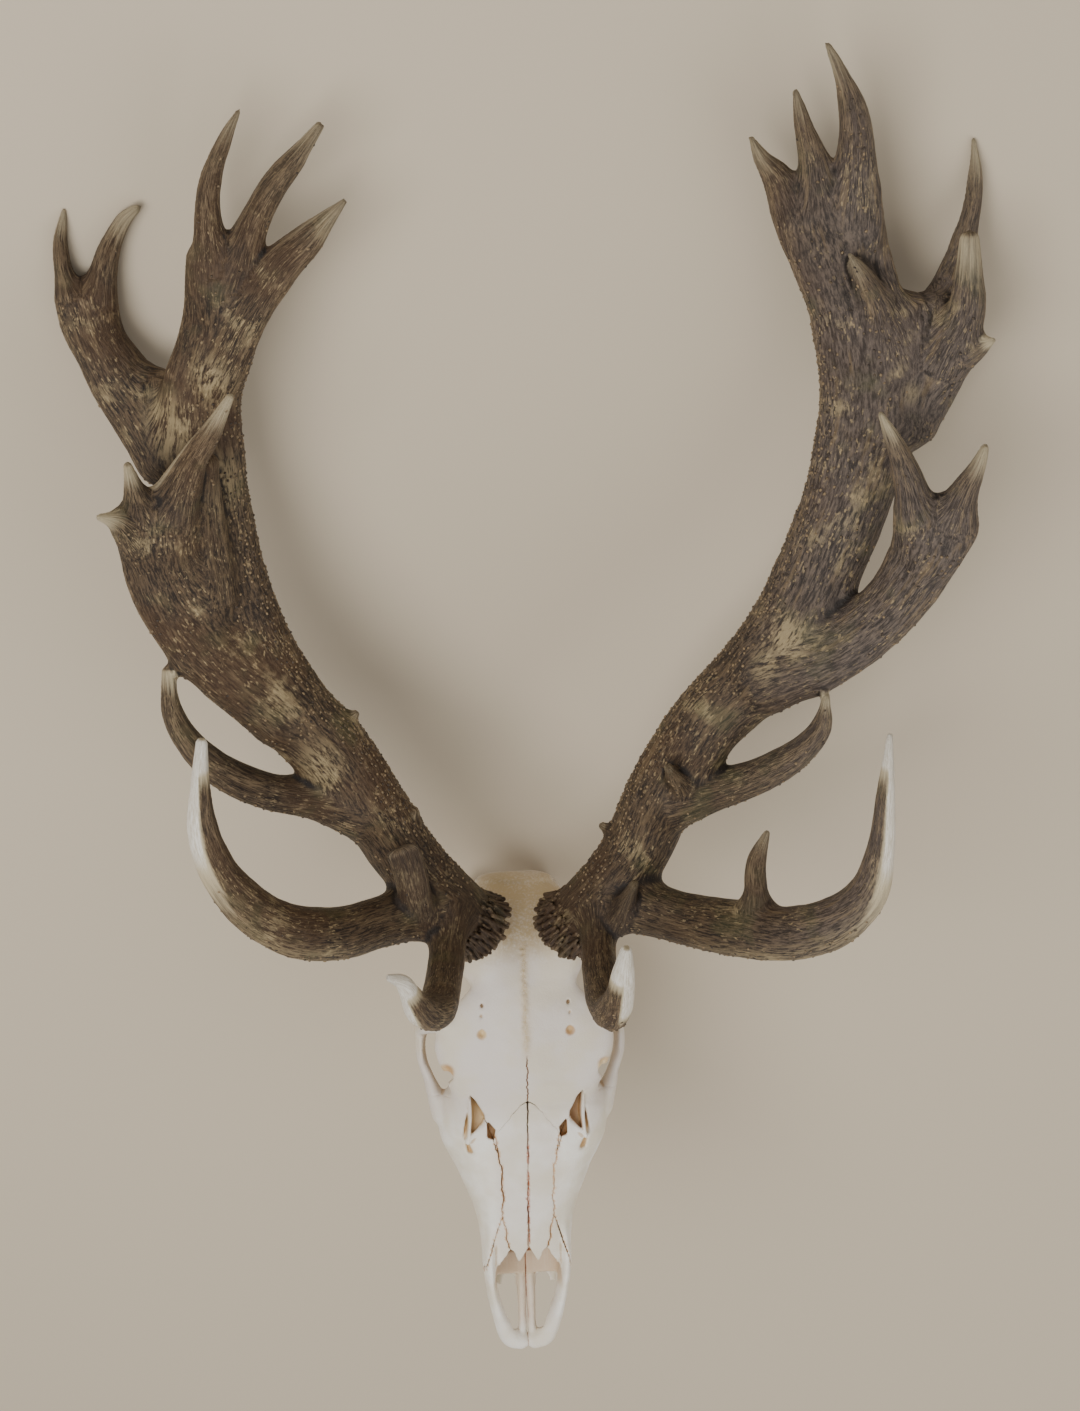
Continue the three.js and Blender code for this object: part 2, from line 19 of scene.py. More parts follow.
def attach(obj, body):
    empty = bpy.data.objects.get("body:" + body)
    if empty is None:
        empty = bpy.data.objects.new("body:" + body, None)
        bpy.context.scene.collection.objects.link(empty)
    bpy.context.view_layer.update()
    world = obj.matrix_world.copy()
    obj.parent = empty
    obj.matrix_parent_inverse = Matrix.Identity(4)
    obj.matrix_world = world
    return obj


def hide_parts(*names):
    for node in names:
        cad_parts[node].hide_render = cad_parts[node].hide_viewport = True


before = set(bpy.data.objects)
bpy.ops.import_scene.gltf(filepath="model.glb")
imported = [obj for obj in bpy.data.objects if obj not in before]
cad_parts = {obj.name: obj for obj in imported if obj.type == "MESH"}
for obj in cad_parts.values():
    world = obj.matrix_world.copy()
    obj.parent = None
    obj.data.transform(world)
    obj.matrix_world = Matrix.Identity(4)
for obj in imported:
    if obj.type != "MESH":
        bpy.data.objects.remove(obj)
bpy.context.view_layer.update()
print("nodes in the frame:", len(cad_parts))

# %% [markdown]
# ## Where things are
# Skulls are easiest to shape in the pose a museum drawer gives them, forehead up. All numbers
# below are millimetres in that pose: +X to the animal's left, +Y to the back of the head, +Z up
# through the forehead. One matrix, `TO_FLOOR`, leans the antlers back into their resting place.
# The bones of the head are shaped about their own midline first, and `HEAD_TO_PAIR` sets them
# under the pair of antlers, a little rolled and turned as the real head is.

# %% Places and units
MM = 0.001
LEAN = math.radians(41.216)
REST_PLACE = Vector((-7.854, -304.241, 23.557))
HEAD_ROLL = math.radians(5)
HEAD_TURN = math.radians(1.2)
HEAD_SHIFT = -2.5
HEAD_PIVOT = Vector((0, -105, 120))
TO_FLOOR = (
    Matrix.Scale(MM, 4)
    @ Matrix.Translation(REST_PLACE)
    @ Matrix.Rotation(-LEAN, 4, "X")
)
HEAD_TO_PAIR = (
    Matrix.Translation(HEAD_PIVOT + Vector((HEAD_SHIFT, 0, 0)))
    @ Matrix.Rotation(HEAD_TURN, 4, "Z")
    @ Matrix.Rotation(HEAD_ROLL, 4, "Y")
    @ Matrix.Translation(-HEAD_PIVOT)
)
HEAD_TO_FLOOR = TO_FLOOR @ HEAD_TO_PAIR
print("lean of the skull, degrees:", round(math.degrees(LEAN), 2))

# %% [markdown]
# ## Distance fields
# A distance field stores, for every point of a fine grid, how far it is to the surface, negative
# inside. Two shapes are joined by taking the smaller distance, and joined softly by blending the
# two near their meeting. That is how bone grows: no edge is sharp where a tine leaves the beam.
# Boolean modifiers would leave a hard crease at every fork, and sculpting can't be rerun.

# %% A block of space
FAR = 14.0        # no distance beyond this many millimetres is kept


class Field:
    """Distances in a box of space, in millimetres."""

    def __init__(self, low, high, voxel):
        self.voxel = voxel
        self.low = np.floor((np.array(low) - FAR) / voxel) * voxel
        self.shape = np.ceil((np.array(high) + FAR - self.low) / voxel).astype(int) + 1
        self.value = self.empty()

    def window(self, low, high):
        """The slices of the block between two corners, and the coordinates there."""
        first = np.floor((np.array(low) - self.low) / self.voxel).astype(int)
        last = np.ceil((np.array(high) - self.low) / self.voxel).astype(int) + 1
        first = np.clip(first, 0, self.shape)
        last = np.clip(last, 0, self.shape)
        axes = [
            (self.low[k] + self.voxel * np.arange(first[k], last[k])).astype(np.float32)
            for k in range(3)
        ]
        slices = tuple(slice(a, b) for a, b in zip(first, last))
        return slices, (axes[0][:, None, None], axes[1][None, :, None], axes[2][None, None, :])

    def empty(self):
        """Distances for the whole block, with nothing in it."""
        return np.full(self.shape, FAR, np.float32)

    def holding(self, value):
        """A field over the same block with other distances."""
        other = copy.copy(self)
        other.value = value.astype(np.float32)
        return other

    def join(self, value, web):
        """Adds a shape, given as distances for the whole block."""
        self.value = soft_union(value, self.value, web)

    def carve(self, value, web):
        """Takes a shape away."""
        self.value = soft_cut(self.value, value, web)

    def surface(self):
        """Vertices in millimetres and four-sided faces of the zero level, turned outward."""
        grid = openvdb.FloatGrid(FAR)
        grid.copyFromArray(self.value)
        points, quads = grid.convertToQuads(isovalue=0.0)
        points = points * self.voxel + self.low
        a, b, c, d = (points[quads[:, k]] for k in range(4))
        volume = (a * (np.cross(b, c) + np.cross(c, d))).sum()
        return points, quads if volume > 0 else quads[:, ::-1].copy()


def soft_union(a, b, web):
    """The smaller of two distances, rounded over a web of the given width."""
    share = np.clip(0.5 + 0.5 * (b - a) / web, 0, 1)
    return b + (a - b) * share - web * share * (1 - share)


def soft_cut(a, b, web):
    """What is left of a when b is taken away, with a rounded edge."""
    return -soft_union(-a, b, web)


def to_ellipsoid(q, radii):
    """The distance to an ellipsoid, estimated from coordinates that are divided by its radii."""
    inner = np.sqrt(q[0] ** 2 + q[1] ** 2 + q[2] ** 2)
    outer = np.sqrt(sum((a / r) ** 2 for a, r in zip(q, radii)))
    return inner, inner * (inner - 1) / np.maximum(outer, 1e-4)

# %% [markdown]
# ## Limbs
# An antler is described the way a draughtsman would: a few stations along each limb, each with a
# place, a half width and a half depth. A Catmull-Rom curve runs through them, and the same kind of
# curve smooths the sizes. Between two samples of the curve the section is an ellipse, and the
# distance to it is estimated from the ellipse's own formula.

# %% Smooth curves through stations
def catmull(points, steps):
    """A centripetal Catmull-Rom curve with so many steps between stations."""
    points = np.array(points, float)
    before = 2 * points[0] - points[1]
    after = 2 * points[-1] - points[-2]
    padded = np.vstack([before, points, after])
    out = []
    for k in range(1, len(padded) - 2):
        p0, p1, p2, p3 = padded[k - 1:k + 3]
        t0, t1, t2 = (np.linalg.norm(b - a) ** 0.5 for a, b in ((p0, p1), (p1, p2), (p2, p3)))
        t1 = t1 if t1 > 1e-4 else 1.0
        t0, t2 = (t if t > 1e-4 else t1 for t in (t0, t2))
        m1 = ((p1 - p0) / t0 - (p2 - p0) / (t0 + t1) + (p2 - p1) / t1) * t1
        m2 = ((p2 - p1) / t1 - (p3 - p1) / (t1 + t2) + (p3 - p2) / t2) * t1
        last = steps + 1 if k == len(padded) - 3 else steps
        t = (np.arange(last) / steps)[:, None]
        c2 = -3 * p1 + 3 * p2 - 2 * m1 - m2
        c3 = 2 * p1 - 2 * p2 + m1 + m2
        out.append(p1 + m1 * t + c2 * t**2 + c3 * t**3)
    return np.vstack(out)


class Limb:
    """A curved limb of elliptical section, sampled finely along its stations.

    Its half depth faces the way that `facing` says. The two caps say how far its rounded ends
    reach; where none is given, an end is as long as the limb is thick there.
    """

    def __init__(self, stations, steps=6, facing=(0, 0, 1), caps=(None, None)):
        stations = np.array(stations, float)
        self.caps = caps
        self.centre = catmull(stations[:, :3], steps)
        flat = np.column_stack([stations[:, 3:], np.zeros(len(stations))])
        self.size = catmull(flat, steps)[:, :2]
        self.along = np.gradient(self.centre, axis=0)
        self.along /= np.linalg.norm(self.along, axis=1)[:, None]
        facing = np.array(facing, float)
        deep = facing - (self.along @ facing)[:, None] * self.along
        self.deep = deep / np.linalg.norm(deep, axis=1)[:, None]
        self.wide = np.cross(self.deep, self.along)
        steps_mm = np.linalg.norm(np.diff(self.centre, axis=0), axis=1)
        self.run = np.concatenate([[0], np.cumsum(steps_mm)])

    def into(self, field, values):
        """Writes the smaller of its distance and what the array holds already."""
        for k in range(len(self.centre) - 1):
            a, b = self.centre[k], self.centre[k + 1]
            root = self.caps[0] if k == 0 and self.caps[0] else 0
            reach = max(self.size[k:k + 2].max(), root) + FAR
            slices, (x, y, z) = field.window(np.minimum(a, b) - reach, np.maximum(a, b) + reach)
            if min(s.stop - s.start for s in slices) < 1:
                continue
            v = b - a
            px, py, pz = x - a[0], y - a[1], z - a[2]
            t = (px * v[0] + py * v[1] + pz * v[2]) / (v @ v)
            before, past = t < 0, t > 1
            t = np.clip(t, 0, 1)
            px, py, pz = px - t * v[0], py - t * v[1], pz - t * v[2]
            wide = self.wide[k] + self.wide[k + 1]
            deep = self.deep[k] + self.deep[k + 1]
            wide, deep = wide / np.linalg.norm(wide), deep / np.linalg.norm(deep)
            along = v / np.linalg.norm(v)
            (w0, d0), (w1, d1) = self.size[k], self.size[k + 1]
            w, d = w0 + (w1 - w0) * t, d0 + (d1 - d0) * t
            e = np.minimum(w, d)
            if k == 0 and self.caps[0]:
                e = np.where(before, self.caps[0], e)
            if k == len(self.centre) - 2 and self.caps[1]:
                e = np.where(past, self.caps[1], e)
            q = [px * n[0] + py * n[1] + pz * n[2] for n in (wide, deep, along)]
            q = [a / r for a, r in zip(q, (w, d, e))]
            inner, distance = to_ellipsoid(q, (w, d, e))
            distance = np.where(inner < 0.05, -e, distance)
            np.minimum(values[slices], distance, out=values[slices])
        return values

    def add_to(self, field, web):
        """Joins the limb to the field with a soft web."""
        own = self.into(field, field.empty())
        near = own < FAR
        field.value[near] = soft_union(own[near], field.value[near], web)

    def cut_from(self, field, web):
        """Cuts the limb's shape out of the field."""
        own = self.into(field, field.empty())
        near = own < FAR
        field.value[near] = soft_cut(field.value[near], own[near], web)

    def locate(self, points, batch=20000):
        """For each point: the run along the limb, the direction round it, and the distance."""
        nearest = np.empty(len(points), int)
        for start in range(0, len(points), batch):
            part = points[start:start + batch]
            apart = ((part[:, None, :] - self.centre[None]) ** 2).sum(axis=2)
            nearest[start:start + batch] = apart.argmin(axis=1)
        spacing = np.gradient(self.run)[nearest]
        ahead = ((points - self.centre[nearest]) * self.along[nearest]).sum(axis=1) / spacing
        other = np.clip(nearest + np.where(ahead > 0, 1, -1), 0, len(self.centre) - 1)
        share = np.clip(np.abs(ahead), 0, 1)[:, None]
        mix = [a[nearest] + (a[other] - a[nearest]) * share
               for a in (self.centre, self.wide, self.deep, self.size)]
        away = points - mix[0]
        w = (away * mix[1]).sum(axis=1) / mix[3][:, 0]
        d = (away * mix[2]).sum(axis=1) / mix[3][:, 1]
        radius = np.maximum(np.hypot(w, d), 1e-6)
        run = self.run[nearest] + ahead * spacing
        distance = (radius - 1) * mix[3].min(axis=1)
        past_end = np.maximum(run - self.run[-1], -run)
        distance = np.maximum(distance, past_end)
        return run, np.stack([w / radius, d / radius], axis=1), distance

# %% [markdown]
# ## The two antlers
# The two differ in every tine, so each has its own table. A row is one station of a limb: its
# place, then half width and half depth there. A palm is the flat web from which a fork's or a
# crown's tines rise, a spur is a small extra point, and a snag a broken stub.

# %% Stations of every limb
LEFT_ANTLER = {
    "beam": [
        [39, 1, 161, 25, 25], [90, 58, 208, 28, 28], [113, 108, 238, 29, 28],
        [149, 167, 270, 30, 27], [184, 203, 291, 31, 25], [220, 248, 318, 34, 23],
        [243, 302, 348, 33, 22], [260, 352, 380, 34, 20], [268, 412, 416, 35, 17],
        [259, 467, 458, 35, 13], [243, 517, 496, 35, 10], [232, 541, 518, 35, 9],
    ],
    "brow": [
        [61, 10, 195, 17, 18], [61, -21, 228, 14, 16], [63, -44, 270, 15, 16],
        [68, -58, 318, 15, 15], [73, -45, 360, 12, 12], [76, -22, 395, 9, 9],
        [78, -2, 418, 4.6, 5],
    ],
    "bez": [
        [84, 22, 205, 25, 25], [128, 9, 232, 21, 21], [171, 2, 266, 23, 20],
        [213, 0, 302, 22, 20], [245, 11, 336, 20, 18], [268, 35, 366, 16, 15],
        [276, 70, 390, 11, 12], [278, 109, 410, 7.6, 8], [280, 158, 430, 2.3, 3],
    ],
    "bezSpur": [
        [188, 5, 275, 19, 15], [187, 34, 290, 10, 10], [187, 57, 300, 8, 8],
        [195, 81, 312, 2.4, 3],
    ],
    "trez": [
        [125, 105, 248, 20, 22], [162, 114, 258, 15, 17], [193, 126, 272, 14, 15],
        [222, 143, 292, 12, 14], [239, 164, 314, 9, 10], [242, 187, 336, 2.4, 3],
    ],
    "fork": [
        [199, 206, 304, 29, 24], [249, 224, 330, 26, 20], [287, 254, 362, 24, 17],
        [309, 288, 396, 26, 13], [318, 319, 425, 29, 11],
    ],
    "forkInner": [
        [306, 322, 425, 17, 11], [295, 353, 445, 12, 10], [283, 378, 462, 6.7, 7],
        [272, 396, 478, 2.2, 3],
    ],
    "forkOuter": [
        [329, 317, 425, 20, 11], [338, 340, 440, 11, 10], [346, 357, 452, 6.7, 7],
        [351, 371, 460, 3.4, 4],
    ],
    "crownInner": [
        [228, 497, 484, 15, 9], [208, 534, 512, 16, 9], [195, 560, 530, 12, 8],
        [182, 574, 545, 6.4, 6], [174, 586, 556, 2.1, 3],
    ],
    "crownMiddle": [
        [226, 538, 515, 19, 9], [219, 573, 540, 11, 8], [211, 594, 560, 6.4, 6],
        [204, 614, 580, 2.1, 3],
    ],
    "crownTop": [
        [252, 537, 515, 19, 9], [251, 573, 540, 14, 10], [245, 600, 572, 11, 9],
        [234, 621, 600, 5.6, 6], [223, 637, 620, 2.1, 3],
    ],
    "outer": [
        [276, 399, 405, 32, 17], [308, 437, 415, 33, 16], [329, 467, 430, 26, 15],
        [338, 493, 446, 15, 13],
    ],
    "outerTop": [
        [327, 475, 432, 17, 12], [337, 517, 450, 10, 10], [344, 551, 468, 6.7, 8],
        [345, 575, 480, 4.8, 6], [342, 595, 492, 1.8, 2.5],
    ],
    "outerFront": [
        [325, 440, 440, 18, 12], [337, 470, 468, 15, 10], [337, 496, 488, 11, 8],
        [336, 521, 502, 7.3, 6],
    ],
    "outerSpur": [[341, 444, 450, 10, 10], [357, 450, 468, 2.2, 3]],
    "frontSpur": [
        [285, 438, 432, 20, 14], [273, 472, 466, 13, 12], [259, 492, 498, 6.4, 7],
        [246, 507, 524, 1.6, 2],
    ],
    "crownPalm": [
        [288, 398, 406, 34, 13], [296, 432, 425, 34, 13], [299, 461, 442, 31, 11],
        [300, 479, 453, 22, 9],
    ],
    "snagBurr": [[78, 7, 216, 12, 12], [90, 38, 256, 4.1, 5]],
    "snagInner": [[80, 75, 216, 7.5, 9], [66, 85, 222, 3.3, 4]],
    "snagFront": [[130, 117, 262, 11, 12], [118, 134, 300, 4, 5]],
}
RIGHT_ANTLER = {
    "beam": [
        [-44, 2, 161, 25, 25], [-94, 58, 208, 27, 28], [-124, 107, 238, 28, 28],
        [-151, 149, 264, 31, 27], [-185, 188, 288, 32, 26], [-212, 236, 314, 33, 24],
        [-229, 287, 343, 33, 22], [-236, 342, 373, 31, 20], [-239, 390, 402, 33, 17],
        [-234, 429, 430, 30, 15], [-218, 470, 462, 28, 12], [-211, 515, 495, 25, 10],
    ],
    "brow": [
        [-61, 12, 195, 17, 18], [-65, -19, 228, 15, 16], [-67, -42, 270, 15, 16],
        [-71, -55, 318, 16, 15], [-81, -51, 352, 13, 12], [-88, -36, 382, 8, 9],
        [-93, -24, 400, 6.1, 6], [-103, -19, 414, 2.3, 3],
    ],
    "bez": [
        [-83, 19, 205, 25, 25], [-119, 10, 232, 21, 21], [-154, 3, 262, 22, 20],
        [-189, 10, 297, 21, 19], [-218, 32, 330, 18, 17], [-237, 61, 358, 15, 15],
        [-246, 95, 382, 12, 12], [-245, 128, 402, 7.6, 9], [-241, 162, 420, 4.6, 5],
    ],
    "trez": [
        [-133, 106, 246, 25, 22], [-173, 113, 258, 16, 18], [-207, 121, 270, 15, 16],
        [-237, 136, 288, 14, 15], [-261, 158, 308, 12, 13], [-274, 185, 326, 9, 10],
        [-276, 217, 342, 4.7, 5],
    ],
    "fork": [
        [-192, 186, 300, 27, 24], [-231, 222, 328, 29, 20], [-258, 259, 362, 30, 17],
        [-272, 295, 396, 29, 13], [-274, 328, 425, 27, 11],
    ],
    "forkInner": [
        [-263, 335, 425, 21, 11], [-242, 370, 452, 12, 9], [-222, 394, 478, 7.4, 7],
        [-206, 415, 502, 2.9, 4],
    ],
    "forkOuter": [[-282, 332, 425, 15, 11], [-285, 355, 448, 7.5, 8], [-287, 369, 462, 3.7, 5]],
    "forkRear": [[-285, 319, 418, 15, 11], [-298, 330, 440, 7.5, 8], [-311, 333, 452, 2.2, 3]],
    "crownTop": [
        [-217, 511, 495, 16, 9], [-218, 550, 522, 9, 9], [-212, 570, 542, 7.9, 8],
        [-201, 589, 562, 5.7, 6], [-188, 607, 582, 1.8, 2.5],
    ],
    "crownMiddle": [
        [-204, 502, 490, 18, 10], [-185, 540, 515, 12, 10], [-169, 561, 535, 10, 9],
        [-150, 579, 555, 7.1, 7], [-132, 597, 572, 3.2, 4],
    ],
    "crownInner": [
        [-214, 448, 455, 18, 12], [-187, 486, 488, 15, 11], [-167, 510, 505, 15, 9],
        [-148, 525, 515, 12, 8], [-130, 541, 525, 6.5, 6], [-118, 551, 532, 2.2, 3],
    ],
    "outer": [
        [-259, 389, 389, 34, 17], [-293, 432, 397, 26, 16], [-313, 466, 410, 21, 15],
        [-323, 499, 427, 18, 12],
    ],
    "outerTop": [
        [-330, 491, 421, 12, 10], [-336, 517, 435, 7.5, 9], [-336, 539, 449, 5.2, 7],
        [-331, 561, 461, 1.9, 2.5],
    ],
    "outerFront": [
        [-313, 490, 421, 12, 11], [-305, 521, 439, 10, 10], [-296, 540, 453, 7.8, 8],
        [-286, 553, 463, 5.9, 6], [-276, 560, 469, 3, 4],
    ],
    "forkPalm": [
        [-241, 276, 366, 19, 12], [-244, 314, 391, 21, 12], [-240, 344, 409, 17, 11],
        [-231, 372, 430, 9, 8],
    ],
    "crownPalm": [[-256, 385, 392, 26, 13], [-264, 416, 400, 20, 11], [-268, 436, 406, 11, 9]],
    "snagBurr": [
        [-86, 8, 214, 15, 13], [-90, 34, 240, 14, 11], [-94, 58, 258, 14, 7],
        [-98, 70, 266, 14, 4],
    ],
    "snagInner": [[-100, 78, 218, 13, 12], [-89, 100, 236, 4.1, 5]],
    "snagFront": [[-150, 171, 268, 11, 10], [-133, 182, 276, 3.2, 4]],
}
# Pale patches where the skin was rubbed away: place and radius.
LEFT_RUBBED = [[212, 236, 338, 17], [196, 214, 326, 13], [300, 420, 430, 10]]
RIGHT_RUBBED = [
    [-222, 434, 452, 20], [-258, 405, 415, 24], [-232, 362, 396, 25], [-162, 141, 288, 20],
    [-199, 192, 310, 18],
]

# %% [markdown]
# ## The burr
# The burr is the ring round the foot of a beam. Here it is a crown of short flutes, set in rows
# that lie on each other like shingles and lean in toward the beam. Chance moves each a little.

# %% A ring of flutes
BURR_AXIS = Vector((0.55, 0.5, 0.67)).normalized()
BURR_CORE = [(-8, 19), (-3, 25.5), (3, 26), (12, 22)]       # height, radius
BURR_ROWS = [(23, -8.5, 24), (27, -5, 30), (29.2, -0.5, 34),
             (28.6, 4.5, 32), (26.2, 10, 29), (23, 15.5, 25)]       # radius, height, flutes
BURR_REACH = 38
BURR_VOXEL = 0.8
FLUTE_HALF = 2.6      # half the length of a flute's middle line, in radii of the flute
FLUTE_WEB = 0.8


def add_flute(field, centre, along, radius):
    """A short rod with round ends."""
    reach = 4 * radius + 4
    slices, (x, y, z) = field.window(centre - reach, centre + reach)
    x, y, z = x - centre[0], y - centre[1], z - centre[2]
    half = FLUTE_HALF * radius
    run = np.clip(x * along[0] + y * along[1] + z * along[2], -half, half)
    apart = (x - run * along[0]) ** 2 + (y - run * along[1]) ** 2 + (z - run * along[2]) ** 2
    field.value[slices] = soft_union(np.sqrt(apart) - radius, field.value[slices], FLUTE_WEB)


def burr_field(foot, side, seed):
    """The ring of flutes round the foot of a beam."""
    dice = np.random.default_rng(seed)
    axis = Vector((side * BURR_AXIS.x, BURR_AXIS.y, BURR_AXIS.z))
    turn = Vector((0, 0, 1)).rotation_difference(axis).to_matrix()
    foot, axis = np.array(foot), np.array(axis)
    field = Field(foot - BURR_REACH, foot + BURR_REACH, BURR_VOXEL)
    core = [[*(foot + axis * height), radius, radius] for height, radius in BURR_CORE]
    Limb(core, steps=4, caps=(3, 3)).add_to(field, 1)
    for radius, height, flutes in BURR_ROWS:
        lean = 0.5 - 0.05 * height
        for flute in range(flutes):
            angle = 2 * math.pi * (flute + dice.uniform(-0.3, 0.3)) / flutes
            outward = Vector((math.cos(angle), math.sin(angle), 0))
            out = radius + dice.uniform(-1.3, 1.3)
            up = height + dice.uniform(-1.5, 1.5)
            local = Vector((out * math.cos(angle), out * math.sin(angle), up))
            tilt = axis - lean * np.array(turn @ outward)
            tilt = tilt + dice.uniform(-0.18, 0.18, 3)
            tilt = tilt / np.linalg.norm(tilt)
            add_flute(field, foot + np.array(turn @ local), tilt, dice.uniform(1.4, 2.3))
    return field

# %% [markdown]
# ## Noise for bone
# Living antler is laid down by blood vessels that run along it, so its skin is grooved lengthwise
# and beaded where the vessels ended. Both move the mesh itself, not only its shading, so that they
# break the outline. A small value-noise function in numpy gives the same result each run.

# %% Value noise
def lattice(ix, iy, iz, seed):
    """A fixed pseudo-random number from 0 to 1 for each corner of a lattice."""
    n = ix * 374761393 + iy * 668265263 + iz * 2147483647 + seed * 974634777
    n = (n ^ (n >> 13)) * 1274126177
    n = n ^ (n >> 16)
    return (n & 0xFFFFFF).astype(np.float64) / 0xFFFFFF


def noise(points, seed=0):
    """Smooth noise from -1 to 1, with features about one unit wide."""
    base = np.floor(points).astype(np.int64)
    f = points - base
    f = f * f * (3 - 2 * f)
    total = np.zeros(len(points))
    for corner in range(8):
        step = (corner & 1, (corner >> 1) & 1, (corner >> 2) & 1)
        x, y, z = (f[:, k] if step[k] else 1 - f[:, k] for k in range(3))
        total += x * y * z * lattice(*(base + step).T, seed)
    return 2 * total - 1


def beads(points, seed=0):
    """Round bumps on a jittered lattice, 1 at the middle of each, falling to 0."""
    base = np.floor(points).astype(np.int64)
    nearest = np.full(len(points), 9.0)
    for step in itertools.product((-1, 0, 1), repeat=3):
        cell = base + step
        spot = np.stack([cell[:, k] + lattice(*cell.T, seed + k) for k in range(3)], axis=1)
        nearest = np.minimum(nearest, ((points - spot) ** 2).sum(axis=1))
    return np.clip(1 - np.sqrt(nearest) / 0.62, 0, 1)

# %% Mesh helpers
def normals_of(points, quads):
    """The skin's normal at each vertex."""
    a, b, c, d = (points[quads[:, k]] for k in range(4))
    face = np.cross(c - a, d - b)
    total = np.zeros_like(points)
    for k in range(4):
        for axis in range(3):
            total[:, axis] += np.bincount(quads[:, k], face[:, axis], len(points))
    return total / np.maximum(np.linalg.norm(total, axis=1), 1e-9)[:, None]


def spread(values, quads, rounds):
    """Averages a value over each vertex's neighbours, so many times."""
    edges = np.vstack([quads[:, [k, (k + 1) % 4]] for k in range(4)])
    count = np.bincount(edges[:, 0], minlength=len(values))
    count = count + np.bincount(edges[:, 1], minlength=len(values))
    for _ in range(rounds):
        total = np.bincount(edges[:, 0], values[edges[:, 1]], len(values))
        total += np.bincount(edges[:, 1], values[edges[:, 0]], len(values))
        values = 0.5 * values + 0.5 * total / np.maximum(count, 1)
    return values


def hollowness(points, quads, rounds):
    """Positive in hollows and negative on ridges, about -1 to 1."""
    moved = np.stack([spread(points[:, k], quads, rounds) for k in range(3)], axis=1)
    depth = ((moved - points) * normals_of(points, quads)).sum(axis=1)
    return np.clip(depth / (2.5 * np.abs(depth).mean() + 1e-9), -1, 1)


def smooth_step(low, high, values):
    """0 where the values are at low or beyond, 1 at high or beyond, and smooth between."""
    t = np.clip((values - low) / (high - low), 0, 1)
    return t * t * (3 - 2 * t)


def place_object(name, data):
    made = bpy.data.objects.new(name, data)
    bpy.context.scene.collection.objects.link(made)
    return made


def evaluated_mesh(made):
    """The mesh an object has once its modifiers have run."""
    graph = bpy.context.evaluated_depsgraph_get()
    return bpy.data.meshes.new_from_object(made.evaluated_get(graph))


def make_object(name, points, quads, matrix, attributes):
    """A smooth mesh object from points in millimetres, set on the floor by a matrix."""
    place = np.array(matrix)
    world = points @ place[:3, :3].T + place[:3, 3]
    world[:, 2] = np.maximum(world[:, 2], 0)
    mesh = bpy.data.meshes.new(name)
    mesh.vertices.add(len(world))
    mesh.vertices.foreach_set("co", world.astype(np.float32).ravel())
    mesh.loops.add(quads.size)
    mesh.loops.foreach_set("vertex_index", quads.astype(np.int32).ravel())
    mesh.polygons.add(len(quads))
    mesh.polygons.foreach_set("loop_start", np.arange(0, quads.size, 4, dtype=np.int32))
    mesh.update(calc_edges=True)
    mesh.validate()
    mesh.polygons.foreach_set("use_smooth", np.ones(len(mesh.polygons), bool))
    for key, values in attributes.items():
        kind, field = ("FLOAT_VECTOR", "vector") if values.ndim == 2 else ("FLOAT", "value")
        layer = mesh.attributes.new(key, kind, "POINT")
        layer.data.foreach_set(field, values.astype(np.float32).ravel())
    print(name, "faces:", len(mesh.polygons))
    return place_object(name, mesh)

# %% [markdown]
# ## Growing an antler
# The beam comes first, then every tine is joined to it with a web as wide as the fork allows.
# After meshing, each vertex is told where it lies: how far along the beam or tine, and in which
# direction round it. Those numbers make the grooves run along every limb, in the mesh now and in
# the material later. The burr is a piece of its own, meshed finer, and gets the same numbers.

# %% Grow an antler
ANTLER_VOXEL = 2.15
WEBS = {"brow": 16, "bez": 14, "trez": 14, "fork": 14, "outer": 14, "bezSpur": 12,
        "crownPalm": 20, "forkPalm": 18, "crownInner": 8, "crownMiddle": 8,
        "snagBurr": 6, "snagInner": 6, "snagFront": 6}
TINE_WEB = 13         # for the tines that aren't in that table
BEAM_CAPS = (5, 12)
LONG_ROOT = 2.2       # crown tines grow out of the palm with a root this many half widths long
PALMS = ("fork", "outer", "crownPalm", "forkPalm")
PLAIN_FACING = (0, 0, 1)
BROW_FACING = (0, 1, 0)
GRAIN_ROUND = 22      # grooves lie as they would on a limb of this radius, in millimetres


def limbs_of(antler):
    """A limb for each entry of an antler's table."""
    made = {}
    for name, stations in antler.items():
        facing = BROW_FACING if name == "brow" else PLAIN_FACING
        root = LONG_ROOT * stations[0][3]
        crown = name.startswith(("crown", "fork", "outer")) and name not in PALMS
        caps = BEAM_CAPS if name == "beam" else (root if crown else None, None)
        made[name] = Limb(stations, facing=facing, caps=caps)
    return made


def grow(limbs):
    """The mesh of all limbs of one antler."""
    corners = np.vstack([limb.centre + way * limb.size.max()
                         for limb in limbs.values() for way in (-1, 1)])
    field = Field(corners.min(axis=0) - 6, corners.max(axis=0) + 6, ANTLER_VOXEL)
    for name, limb in limbs.items():
        limb.add_to(field, WEBS.get(name, TINE_WEB))
    return field.surface()


